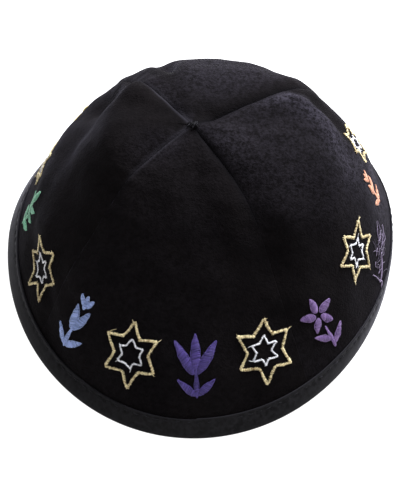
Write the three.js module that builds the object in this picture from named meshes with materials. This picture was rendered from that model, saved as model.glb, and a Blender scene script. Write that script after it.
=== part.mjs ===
// Kippah skullcap: four sewn velvet gores on a folded rim binding.
// Millimetres, +Z up, the front towards -Y, standing on z = 0.
import * as THREE from 'three';

// Driving dimensions, in millimetres
const RIM_HALF_WIDTH = 85.5;
const RIM_FRONT_REACH = 103.5;
const RIM_BACK_REACH = 80;
const CROWN_RISE = 74;
const CROWN_SHIFT_RIGHT = 1;
const CROWN_SHIFT_BACK = 1.5;
const CLOTH_WALL = 1.5;
const TAPE_WALL = 1;
const TAPE_LEG = 8;
const TAPE_FOOT_WIDTH = 2;
const PIECE_GAP = 0.3;
const TIP_RADIUS = 1.4;
const GORE_EDGE_HEIGHT = TAPE_WALL + PIECE_GAP;

// The four seams cross at the crown point. Azimuths are degrees from the front towards the right. Each gore starts at
// its own seam and ends at the next one. sway is how far a seam bows aside on its upper half, in degrees.
const SEAMS = [
  { gore: 'gore_right', azimuth: 34, sway: 6 },
  { gore: 'gore_back', azimuth: 124, sway: 0 },
  { gore: 'gore_left', azimuth: 214, sway: 0 },
  { gore: 'gore_front', azimuth: 304, sway: 0 },
];

// How deep each seam pulls in, in millimetres, and how far its pull reaches across the cloth
const SEAM_DIP = 2.6;
const SEAM_REACH = 8;

// How finely the cloth is faceted
const STEPS_ACROSS_GORE = 20;
const STEPS_UP_GORE = 16;
const STEPS_ROUND_TAPE = SEAMS.length * STEPS_ACROSS_GORE;
const STEPS_UP_TAPE = 2;

// The gores' sections, from the rim to the crown point. along is the share of the way up the cloth. Each In column is
// the share of the plan distance from rim to crown point, and each Rise column is the share of CROWN_RISE.
// dip is the share of SEAM_DIP that the seams take there.
const SECTIONS = [
  { along: 0.00, frontIn: 0.00, frontRise: 0.00, rightIn: 0.00, rightRise: 0.00,
    backIn: 0.00, backRise: 0.00, leftIn: 0.00, leftRise: 0.00, dip: 0.00 },
  { along: 0.08, frontIn: 0.06, frontRise: 0.08, rightIn: 0.00, rightRise: 0.11,
    backIn: 0.03, backRise: 0.10, leftIn: 0.06, leftRise: 0.09, dip: 0.00 },
  { along: 0.20, frontIn: 0.15, frontRise: 0.23, rightIn: 0.06, rightRise: 0.30,
    backIn: 0.08, backRise: 0.28, leftIn: 0.14, leftRise: 0.25, dip: 0.20 },
  { along: 0.35, frontIn: 0.32, frontRise: 0.42, rightIn: 0.13, rightRise: 0.52,
    backIn: 0.17, backRise: 0.51, leftIn: 0.22, leftRise: 0.46, dip: 0.35 },
  { along: 0.50, frontIn: 0.48, frontRise: 0.62, rightIn: 0.24, rightRise: 0.73,
    backIn: 0.28, backRise: 0.70, leftIn: 0.37, leftRise: 0.66, dip: 0.55 },
  { along: 0.65, frontIn: 0.64, frontRise: 0.79, rightIn: 0.39, rightRise: 0.89,
    backIn: 0.44, backRise: 0.85, leftIn: 0.49, leftRise: 0.84, dip: 0.80 },
  { along: 0.80, frontIn: 0.80, frontRise: 0.92, rightIn: 0.62, rightRise: 0.97,
    backIn: 0.63, backRise: 0.96, leftIn: 0.62, leftRise: 0.96, dip: 1.00 },
  { along: 0.92, frontIn: 0.92, frontRise: 0.98, rightIn: 0.84, rightRise: 1.00,
    backIn: 0.84, backRise: 1.00, leftIn: 0.84, leftRise: 1.00, dip: 0.80 },
  { along: 1.00, frontIn: 1.00, frontRise: 1.00, rightIn: 1.00, rightRise: 1.00,
    backIn: 1.00, backRise: 1.00, leftIn: 1.00, leftRise: 1.00, dip: 0.00 },
];

// The cloth's folds and dents. azimuth is where each one's middle lies, along is how far up, wide is its half width in
// degrees, tall its half height as a share of the way up, and out its lift from the cloth as a share of CROWN_RISE.
const FOLDS = [
  { azimuth: 190, along: 0.78, wide: 24, tall: 0.16, out: 0.022 },
  { azimuth: 120, along: 0.67, wide: 16, tall: 0.17, out: 0.050 },
  { azimuth: -137, along: 0.76, wide: 12, tall: 0.11, out: 0.042 },
  { azimuth: -160, along: 0.74, wide: 9, tall: 0.12, out: -0.012 },
  { azimuth: -88, along: 0.58, wide: 24, tall: 0.16, out: -0.016 },
  { azimuth: -30, along: 0.62, wide: 12, tall: 0.24, out: -0.014 },
  { azimuth: 82, along: 0.40, wide: 16, tall: 0.22, out: -0.010 },
  { azimuth: 6, along: 0.48, wide: 26, tall: 0.22, out: 0.012 },
  { azimuth: -116, along: 0.54, wide: 15, tall: 0.13, out: -0.040 },
];

const velvet = { color: 0x121118, roughness: 0.95, metalness: 0 };
const tape = { color: 0x28272f, roughness: 0.75, metalness: 0 };

const COLUMN_NAMES = Object.keys(SECTIONS[0]).filter((name) => name !== 'along');

// One column of the section table, read at any share of the way up, with a smooth bend through its rows
function columnSlopes(column) {
  const last = SECTIONS.length - 1;
  return SECTIONS.map((row, index) => {
    const before = SECTIONS[Math.max(index - 1, 0)];
    const after = SECTIONS[Math.min(index + 1, last)];
    return (after[column] - before[column]) / (after.along - before.along);
  });
}

const SLOPES = Object.fromEntries(COLUMN_NAMES.map((name) => [name, columnSlopes(name)]));

function readSection(column, along) {
  let row = 0;
  while (row < SECTIONS.length - 2 && along > SECTIONS[row + 1].along) {
    row += 1;
  }
  const low = SECTIONS[row];
  const high = SECTIONS[row + 1];
  const step = high.along - low.along;
  const s = (along - low.along) / step;
  const s2 = s * s;
  const s3 = s2 * s;
  return (2 * s3 - 3 * s2 + 1) * low[column]
    + (s3 - 2 * s2 + s) * step * SLOPES[column][row]
    + (3 * s2 - 2 * s3) * high[column]
    + (s3 - s2) * step * SLOPES[column][row + 1];
}

function radians(degrees) {
  return degrees * Math.PI / 180;
}

// The signed turn from one azimuth to another, between -180 and 180 degrees
function turnBetween(from, to) {
  return ((to - from) % 360 + 540) % 360 - 180;
}

function rimPoint(azimuth) {
  const forward = Math.cos(radians(azimuth));
  const sideways = Math.sin(radians(azimuth));
  const reach = forward > 0 ? RIM_FRONT_REACH : RIM_BACK_REACH;
  return new THREE.Vector2(RIM_HALF_WIDTH * sideways, -reach * forward);
}

const crownPlan = new THREE.Vector2(CROWN_SHIFT_RIGHT, CROWN_SHIFT_BACK);

// How much each of the four section profiles counts at an azimuth; the shares add up to one
function profileShares(azimuth) {
  const forward = Math.cos(radians(azimuth));
  const sideways = Math.sin(radians(azimuth));
  return {
    front: Math.max(forward, 0) ** 2,
    back: Math.max(-forward, 0) ** 2,
    right: Math.max(sideways, 0) ** 2,
    left: Math.max(-sideways, 0) ** 2,
  };
}

// The cap's form before its seams and folds move it in or out
function plainForm(azimuth, along) {
  let inward = 0;
  let rise = 0;
  for (const [side, share] of Object.entries(profileShares(azimuth))) {
    inward += share * readSection(`${side}In`, along);
    rise += share * readSection(`${side}Rise`, along);
  }
  const plan = rimPoint(azimuth).lerp(crownPlan, inward);
  return new THREE.Vector3(plan.x, plan.y, rise * CROWN_RISE);
}

// The direction that faces out of the cap, square to a form's surface
const AZIMUTH_NUDGE = 0.5;
const ALONG_NUDGE = 0.004;
function outwardOf(form, azimuth, along) {
  const low = Math.max(along - ALONG_NUDGE, 0);
  const high = Math.min(along + ALONG_NUDGE, 1);
  const round = form(azimuth + AZIMUTH_NUDGE, along).sub(form(azimuth - AZIMUTH_NUDGE, along));
  const up = form(azimuth, high).sub(form(azimuth, low));
  return round.cross(up).normalize();
}

function seamAzimuth(seam, along) {
  return seam.azimuth + seam.sway * Math.sin(Math.PI * along ** 3);
}

function nearestSeamTurn(azimuth, along) {
  return Math.min(...SEAMS.map((seam) => Math.abs(turnBetween(seamAzimuth(seam, along), azimuth))));
}

// How far the seams and folds move the cloth outwards, in millimetres
function clothLift(azimuth, along) {
  const plain = plainForm(azimuth, along);
  const radius = Math.hypot(plain.x - crownPlan.x, plain.y - crownPlan.y);
  const seamDistance = radius * radians(nearestSeamTurn(azimuth, along));
  let lift = -SEAM_DIP * readSection('dip', along) * Math.exp(-seamDistance / SEAM_REACH);
  for (const fold of FOLDS) {
    const round = turnBetween(fold.azimuth, azimuth) / fold.wide;
    const up = (along - fold.along) / fold.tall;
    lift += CROWN_RISE * fold.out * Math.exp(-round * round - up * up);
  }
  return lift;
}

// The outer face of the cloth
function clothForm(azimuth, along) {
  const point = plainForm(azimuth, along);
  return point.addScaledVector(outwardOf(plainForm, azimuth, along), clothLift(azimuth, along));
}

// A point at a distance out of the cloth's outer face, square to it
function besideCloth(azimuth, along, distance) {
  const outward = outwardOf(clothForm, azimuth, along);
  return clothForm(azimuth, along).addScaledVector(outward, distance);
}

// The same distance out of the cloth, reached on the level, so that the point keeps its height
function levelWithCloth(azimuth, height, distance) {
  const along = alongAtHeight(azimuth, height);
  const outward = outwardOf(clothForm, azimuth, along);
  const level = Math.hypot(outward.x, outward.y);
  const point = clothForm(azimuth, along);
  point.x += outward.x * distance / level ** 2;
  point.y += outward.y * distance / level ** 2;
  point.z = height;
  return point;
}

// A closed body from a grid of rings of points. Every ring has the same number of points and is closed on itself.
// Where the rings don't meet end to end, the first and the last are capped.
function bodyFromRings(rings, ringsMeet) {
  const positions = [];
  const ringSize = rings[0].length;
  const addTriangle = (a, b, c) => {
    for (const point of [a, b, c]) {
      positions.push(point.x, point.y, point.z);
    }
  };
  const bandCount = ringsMeet ? rings.length : rings.length - 1;
  for (let i = 0; i < bandCount; i += 1) {
    const here = rings[i];
    const next = rings[(i + 1) % rings.length];
    for (let j = 0; j < ringSize; j += 1) {
      const k = (j + 1) % ringSize;
      addTriangle(here[j], next[j], next[k]);
      addTriangle(here[j], next[k], here[k]);
    }
  }
  if (!ringsMeet) {
    capRing(rings[0], addTriangle, true);
    capRing(rings[rings.length - 1], addTriangle, false);
  }
  const geometry = new THREE.BufferGeometry();
  geometry.setAttribute('position', new THREE.Float32BufferAttribute(positions, 3));
  geometry.computeVertexNormals();
  return geometry;
}

// A cap across a ring whose first half lies opposite its second half, as the two faces of a strip of cloth do
function capRing(ring, addTriangle, atStart) {
  const last = ring.length - 1;
  for (let j = 0; j < ring.length / 2 - 1; j += 1) {
    const corners = [ring[j], ring[j + 1], ring[last - j - 1], ring[last - j]];
    if (atStart) {
      addTriangle(corners[0], corners[1], corners[2]);
      addTriangle(corners[0], corners[2], corners[3]);
    } else {
      addTriangle(corners[0], corners[2], corners[1]);
      addTriangle(corners[0], corners[3], corners[2]);
    }
  }
}

// The share of the way up, between two others, at which a test first holds
function shareWhere(test, from, to) {
  let low = from;
  let high = to;
  for (let halving = 0; halving < 24; halving += 1) {
    const middle = (low + high) / 2;
    if (test(middle)) {
      high = middle;
    } else {
      low = middle;
    }
  }
  return (low + high) / 2;
}

// The share of the way up at which the cloth stands at a height above the ground, near the rim
function alongAtHeight(azimuth, height) {
  return shareWhere((along) => clothForm(azimuth, along).z > height, 0, SECTIONS[3].along);
}

// The share of the way up at which a gore ends, a small radius short of the crown point
function alongAtTip(azimuth) {
  const nearCrown = (along) => {
    const point = plainForm(azimuth, along);
    return Math.hypot(point.x - crownPlan.x, point.y - crownPlan.y) < TIP_RADIUS;
  };
  return shareWhere(nearCrown, SECTIONS[SECTIONS.length - 3].along, 1);
}

// The direction along the cloth that crosses a seam, the same for the gores on both sides of it
function acrossSeam(seam, along) {
  const low = Math.max(along - ALONG_NUDGE, 0);
  const high = Math.min(along + ALONG_NUDGE, 1);
  const up = clothForm(seamAzimuth(seam, high), high).sub(clothForm(seamAzimuth(seam, low), low));
  return up.cross(outwardOf(plainForm, seamAzimuth(seam, along), along)).normalize();
}

// A gore's edge at a seam, from the rim up. Each edge stands half the gap aside from the seam, and its wall is square
// to the unseamed cloth, so that two gores face each other across an even gap.
function seamRing(seam, aside, alongs) {
  const ends = [0, -CLOTH_WALL].map((distance) => levelWithCloth(seam.azimuth, GORE_EDGE_HEIGHT, distance)
    .addScaledVector(acrossSeam(seam, alongs[0]), aside));
  const outer = [ends[0]];
  const inner = [ends[1]];
  for (const along of alongs.slice(1)) {
    const azimuth = seamAzimuth(seam, along);
    const point = clothForm(azimuth, along).addScaledVector(acrossSeam(seam, along), aside);
    outer.push(point);
    inner.push(point.clone().addScaledVector(outwardOf(plainForm, azimuth, along), -CLOTH_WALL));
  }
  return [...outer, ...inner.reverse()];
}

// A gore's line of points from the rim up, away from its seams
function clothRing(azimuthAt, alongs) {
  const outer = [levelWithCloth(azimuthAt(alongs[0]), GORE_EDGE_HEIGHT, 0)];
  const inner = [levelWithCloth(azimuthAt(alongs[0]), GORE_EDGE_HEIGHT, -CLOTH_WALL)];
  for (const along of alongs.slice(1)) {
    outer.push(besideCloth(azimuthAt(along), along, 0));
    inner.push(besideCloth(azimuthAt(along), along, -CLOTH_WALL));
  }
  return [...outer, ...inner.reverse()];
}

// One gore: its outer face up, then its inner face down, ring by ring from its own seam to the next one
function goreGeometry(seam, nextSeam) {
  const rings = [];
  for (let i = 0; i <= STEPS_ACROSS_GORE; i += 1) {
    const share = i / STEPS_ACROSS_GORE;
    const azimuthAt = (along) => {
      const start = seamAzimuth(seam, along);
      return start + share * ((seamAzimuth(nextSeam, along) - start + 360) % 360);
    };
    const low = alongAtHeight(azimuthAt(0), GORE_EDGE_HEIGHT);
    const high = alongAtTip(azimuthAt(1));
    const alongs = Array.from({ length: STEPS_UP_GORE + 1 }, (_, j) => low + (high - low) * j / STEPS_UP_GORE);
    if (i === 0) {
      rings.push(seamRing(seam, PIECE_GAP / 2, alongs));
    } else if (i === STEPS_ACROSS_GORE) {
      rings.push(seamRing(nextSeam, -PIECE_GAP / 2, alongs));
    } else {
      rings.push(clothRing(azimuthAt, alongs));
    }
  }
  return bodyFromRings(rings, false);
}

// The share of the way up that lies at a straight distance from the rim's edge
function alongAtReach(azimuth, reach) {
  const edge = clothForm(azimuth, 0);
  return shareWhere((along) => clothForm(azimuth, along).distanceTo(edge) > reach, 0, SECTIONS[3].along);
}

// The tape's section at one azimuth: up the outside, over, down the channel, up the channel and down the inside
function tapeRing(azimuth) {
  const outerFace = PIECE_GAP + TAPE_WALL;
  const channelInside = -CLOTH_WALL - PIECE_GAP;
  const innerFace = channelInside - TAPE_WALL;
  const footMiddle = (outerFace + innerFace) / 2;
  const leg = (distance) => {
    const points = [levelWithCloth(azimuth, TAPE_WALL, distance)];
    for (let step = 1; step <= STEPS_UP_TAPE; step += 1) {
      points.push(besideCloth(azimuth, alongAtReach(azimuth, TAPE_LEG * step / STEPS_UP_TAPE), distance));
    }
    return points;
  };
  return [
    levelWithCloth(azimuth, 0, footMiddle + TAPE_FOOT_WIDTH / 2),
    ...leg(outerFace),
    ...leg(PIECE_GAP).reverse(),
    ...leg(channelInside),
    ...leg(innerFace).reverse(),
    levelWithCloth(azimuth, 0, footMiddle - TAPE_FOOT_WIDTH / 2),
  ];
}

function tapeGeometry() {
  const rings = [];
  for (let i = 0; i < STEPS_ROUND_TAPE; i += 1) {
    rings.push(tapeRing(SEAMS[0].azimuth + 360 * i / STEPS_ROUND_TAPE));
  }
  return bodyFromRings(rings, true);
}

function namedMesh(name, geometry, finish) {
  const mesh = new THREE.Mesh(geometry, new THREE.MeshStandardMaterial(finish));
  mesh.name = name;
  return mesh;
}

const crown = new THREE.Group();
SEAMS.forEach((seam, index) => {
  const nextSeam = SEAMS[(index + 1) % SEAMS.length];
  crown.add(namedMesh(seam.gore, goreGeometry(seam, nextSeam), velvet));
});

const rim = new THREE.Group();
rim.add(namedMesh('rim_binding', tapeGeometry(), tape));

// The cap is set with the middle of its rim's box on the vertical axis
const cap = new THREE.Group();
cap.add(crown, rim);
const footprint = new THREE.Box3().setFromObject(rim);
const middle = footprint.getCenter(new THREE.Vector3());
cap.position.set(-middle.x, -middle.y, 0);

export default cap;
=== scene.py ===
"""A velvet kippah: four sewn gores, a bound rim, stars and sprays in thread, and their studio."""

import logging
import math
from dataclasses import dataclass, field
from enum import Enum
from functools import cached_property
from typing import Callable, NamedTuple

import bmesh
import bpy
import numpy as np
from mathutils import Matrix, Quaternion, Vector


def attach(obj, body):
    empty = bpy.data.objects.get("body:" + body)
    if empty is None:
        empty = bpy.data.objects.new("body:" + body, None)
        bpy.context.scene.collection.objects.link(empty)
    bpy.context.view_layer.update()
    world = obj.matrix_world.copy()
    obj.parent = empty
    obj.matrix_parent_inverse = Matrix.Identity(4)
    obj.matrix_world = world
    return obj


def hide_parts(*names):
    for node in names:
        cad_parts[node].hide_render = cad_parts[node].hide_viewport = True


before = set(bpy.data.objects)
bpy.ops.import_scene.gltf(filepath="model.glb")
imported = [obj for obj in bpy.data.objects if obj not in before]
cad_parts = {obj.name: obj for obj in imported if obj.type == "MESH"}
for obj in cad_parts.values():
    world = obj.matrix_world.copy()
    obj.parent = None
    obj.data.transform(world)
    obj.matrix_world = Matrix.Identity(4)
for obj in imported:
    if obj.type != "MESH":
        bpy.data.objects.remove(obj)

log = logging.getLogger("kippah")
Array = np.ndarray
Color = tuple[float, float, float, float]
Socket = bpy.types.NodeSocket
Material = bpy.types.Material
Chance = np.random.Generator
MM = 0.001
WHITE: Color = (1.0, 1.0, 1.0, 1.0)
GORE_TURN = 90.0

# The small steps to each side over which the cloth's slope is read, and how often a search is halved.
AZIMUTH_NUDGE = 0.5
ALONG_NUDGE = 0.004
HALVINGS = 22


class Gore(Enum):
    """The four gores, named for the way they face, in order round the cap from its front right seam."""

    RIGHT = "gore_right"
    BACK = "gore_back"
    LEFT = "gore_left"
    FRONT = "gore_front"


class Seam(NamedTuple):
    """A seam from rim to crown, which a gore starts at.

    azimuth is in degrees from the front towards the right and sway is how far the seam bows. groove and
    groove_reach are the depth and the half width in metres of the groove between the rolled edges. Then come
    the strength of the painted highlight on those edges, and how far in metres the painted shade past the
    seam reaches. fades_at is the share of the way up below which the pulled seam goes soft.
    """

    gore: Gore
    azimuth: float
    sway: float
    groove: float
    groove_reach: float
    painted_edge_highlight: float
    shade_reach: float
    fades_at: float


class Section(NamedTuple):
    """One row of the cap's sections: how far in and how high each side has come at a share of the way up."""

    along: float
    front_in: float
    front_rise: float
    right_in: float
    right_rise: float
    back_in: float
    back_rise: float
    left_in: float
    left_rise: float
    dip: float


class Mark(NamedTuple):
    """A soft round place on the cloth: its middle and half sizes in degrees and shares of the way up.

    The strength of a fold or dent is its lift as a share of the crown's rise. That of a patch of painted
    light is how much paler the velvet is painted there, as painted sheen and highlight, and how much darker,
    as painted shade, where it is below zero.
    """

    azimuth: float
    along: float
    wide: float
    tall: float
    strength: float


SEAMS = (
    Seam(Gore.RIGHT, 34.0, 6.0, 0.0012, 0.0020, 0.03, 0.0, 0.63),
    Seam(Gore.BACK, 124.0, 0.0, 0.0034, 0.0040, 0.0, 0.0065, 0.48),
    Seam(Gore.LEFT, 214.0, 0.0, 0.0009, 0.0014, 0.80, 0.0, 0.48),
    Seam(Gore.FRONT, 304.0, 0.0, 0.0006, 0.0012, 0.60, 0.0, 0.60),
)

SECTIONS = (
    Section(0.00, 0.00, 0.00, 0.00, 0.00, 0.00, 0.00, 0.00, 0.00, 0.00),
    Section(0.08, 0.06, 0.08, 0.00, 0.11, 0.03, 0.10, 0.06, 0.09, 0.00),
    Section(0.20, 0.15, 0.23, 0.06, 0.30, 0.08, 0.28, 0.14, 0.25, 0.20),
    Section(0.35, 0.32, 0.42, 0.13, 0.52, 0.17, 0.51, 0.22, 0.46, 0.35),
    Section(0.50, 0.48, 0.62, 0.24, 0.73, 0.28, 0.70, 0.37, 0.66, 0.55),
    Section(0.65, 0.64, 0.79, 0.39, 0.89, 0.44, 0.85, 0.49, 0.84, 0.80),
    Section(0.80, 0.80, 0.92, 0.62, 0.97, 0.63, 0.96, 0.62, 0.96, 1.00),
    Section(0.92, 0.92, 0.98, 0.84, 1.00, 0.84, 1.00, 0.84, 1.00, 0.80),
    Section(1.00, 1.00, 1.00, 1.00, 1.00, 1.00, 1.00, 1.00, 1.00, 0.00),
)

STATIONS = np.array([row.along for row in SECTIONS])
COLUMNS = np.array([row[1:] for row in SECTIONS])
BEFORE = np.maximum(np.arange(len(SECTIONS)) - 1, 0)
AFTER = np.minimum(np.arange(len(SECTIONS)) + 1, len(SECTIONS) - 1)
SLOPES = (COLUMNS[AFTER] - COLUMNS[BEFORE]) / (STATIONS[AFTER] - STATIONS[BEFORE])[:, None]

FOLDS = (
    Mark(190.0, 0.78, 24.0, 0.16, 0.022),
    Mark(120.0, 0.67, 16.0, 0.17, 0.050),
    Mark(-137.0, 0.76, 12.0, 0.11, 0.042),
    Mark(-160.0, 0.74, 9.0, 0.12, -0.012),
    Mark(-88.0, 0.58, 24.0, 0.16, -0.016),
    Mark(-30.0, 0.62, 12.0, 0.24, -0.014),
    Mark(82.0, 0.40, 16.0, 0.22, -0.010),
    Mark(6.0, 0.48, 26.0, 0.22, 0.012),
    Mark(-116.0, 0.54, 15.0, 0.13, -0.040),
)

CREASES = (
    Mark(-167.0, 0.590, 4.4, 0.12, -0.082),
    Mark(-156.0, 0.590, 4.0, 0.08, 0.010),
    Mark(-146.0, 0.520, 6.0, 0.10, 0.024),
    Mark(-130.0, 0.540, 8.5, 0.14, -0.056),
    Mark(118.0, 0.655, 4.5, 0.050, -0.026),
    Mark(112.0, 0.610, 4.5, 0.050, -0.026),
    Mark(107.0, 0.560, 4.5, 0.050, -0.024),
    Mark(103.0, 0.505, 4.5, 0.050, -0.018),
    Mark(113.0, 0.690, 6.0, 0.060, 0.012),
    Mark(100.0, 0.610, 6.0, 0.070, 0.012),
)

# Painted sheen: how much paler each gore's velvet is painted, standing in for the sheen the light gives it.
PAINTED_GORE_LIGHT = {Gore.RIGHT: 0.085, Gore.BACK: 0.11, Gore.LEFT: 0.0, Gore.FRONT: 0.015}

# Patches of painted light on the velvet: painted highlights on lit ridges and shoulders, painted shade below
# zero.
PAINTED_LIGHT_PATCHES = (
    Mark(115.0, 0.70, 6.0, 0.09, 0.30),
    Mark(103.0, 0.645, 7.0, 0.06, 0.30),
    Mark(93.0, 0.570, 7.0, 0.06, 0.26),
    Mark(85.0, 0.480, 7.0, 0.07, 0.15),
    Mark(122.0, 0.60, 5.0, 0.06, -0.34),
    Mark(113.0, 0.58, 5.0, 0.05, -0.34),
    Mark(106.0, 0.53, 5.0, 0.05, -0.30),
    Mark(101.0, 0.47, 5.0, 0.05, -0.24),
    Mark(58.0, 0.26, 24.0, 0.22, -0.13),
    Mark(42.0, 0.50, 15.0, 0.21, -0.080),
    Mark(97.0, 0.30, 12.0, 0.13, 0.24),
    Mark(172.0, 0.94, 46.0, 0.06, -0.08),
    Mark(-163.0, 0.74, 9.0, 0.12, -0.10),
    Mark(-143.0, 0.62, 12.0, 0.12, -0.07),
    Mark(-100.0, 0.45, 30.0, 0.25, -0.06),
    Mark(165.0, 0.70, 22.0, 0.12, 0.04),
    Mark(62.0, 0.90, 22.0, 0.07, 0.05),
    Mark(92.0, 0.20, 16.0, 0.09, 0.07),
    Mark(-66.0, 0.88, 22.0, 0.08, 0.04),
    Mark(-44.0, 0.92, 30.0, 0.06, 0.06),
)


def unit(vectors: Array) -> Array:
    """Vectors made one long.

    Args:
        vectors: an array whose last axis holds x, y and z.

    Returns:
        The same directions, each of length one.
    """
    return vectors / np.maximum(np.linalg.norm(vectors, axis=-1, keepdims=True), 1e-12)


def turn_between(start: Array, end: Array) -> Array:
    """The signed turn from one azimuth to another, between -180 and 180 degrees."""
    return np.mod(np.asarray(end) - np.asarray(start) + 180.0, 360.0) - 180.0


def bell(offset: Array, half_width: float | Array) -> Array:
    """A smooth bump that is one at no offset and falls away on both sides."""
    return np.exp(-np.square(np.asarray(offset) / half_width))


def ramp_up(values: Array, start: float | Array, length: float) -> Array:
    """A ramp that is zero up to its start and one from a length past it."""
    return np.clip((np.asarray(values) - start) / length, 0.0, 1.0)


def strength_at(marks: tuple[Mark, ...], azimuth: Array, along: Array) -> Array:
    """How strong a set of marks is at each place.

    Args:
        marks: the marks, which add up where they meet.
        azimuth: degrees from the front towards the right.
        along: shares of the way up.

    Returns:
        Their strengths, added up.
    """
    total = np.zeros(np.shape(azimuth))
    for mark in marks:
        round_it = bell(turn_between(mark.azimuth, azimuth), mark.wide)
        total = total + mark.strength * round_it * bell(along - mark.along, mark.tall)
    return total


def seam_values(trait: str, nearest: Array) -> Array:
    """One trait of the nearest seam at each place, from the seams' numbers."""
    return np.array([getattr(seam, trait) for seam in SEAMS])[nearest]


def share_where(test: Callable[[Array], Array], low: Array, high: Array) -> Array:
    """The share of the way up at which a test first holds, found by halving.

    Args:
        test: takes shares and says for each whether it is past the place.
        low: shares that lie before it.
        high: shares that lie past it.

    Returns:
        The shares at the place.
    """
    low = np.array(low, float)
    high = np.array(high, float)
    for _ in range(HALVINGS):
        middle = (low + high) / 2
        past = test(middle)
        high = np.where(past, middle, high)
        low = np.where(past, low, middle)
    return (low + high) / 2


class Ripples:
    """Seeded soft waves in space that leave no two spots of the cloth quite alike."""

    def __init__(self, seed: int, count: int, shortest: float, longest: float, height: float) -> None:
        """Draws the waves.

        Args:
            seed: which set of waves it is.
            count: how many waves there are.
            shortest: the shortest wave length in metres.
            longest: the longest wave length in metres.
            height: the usual height of all of them together.
        """
        draw = np.random.default_rng(seed)
        lengths = np.exp(draw.uniform(math.log(shortest), math.log(longest), count))
        self.waves = unit(draw.normal(size=(count, 3))) * (2 * math.pi / lengths)[:, None]
        self.phases = draw.uniform(0, 2 * math.pi, count)
        self.scale = height * math.sqrt(2 / count)

    def at(self, points: Array) -> Array:
        """The waves' height at each of an array of points."""
        return self.scale * np.sin(points @ self.waves.T + self.phases).sum(axis=-1)


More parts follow.
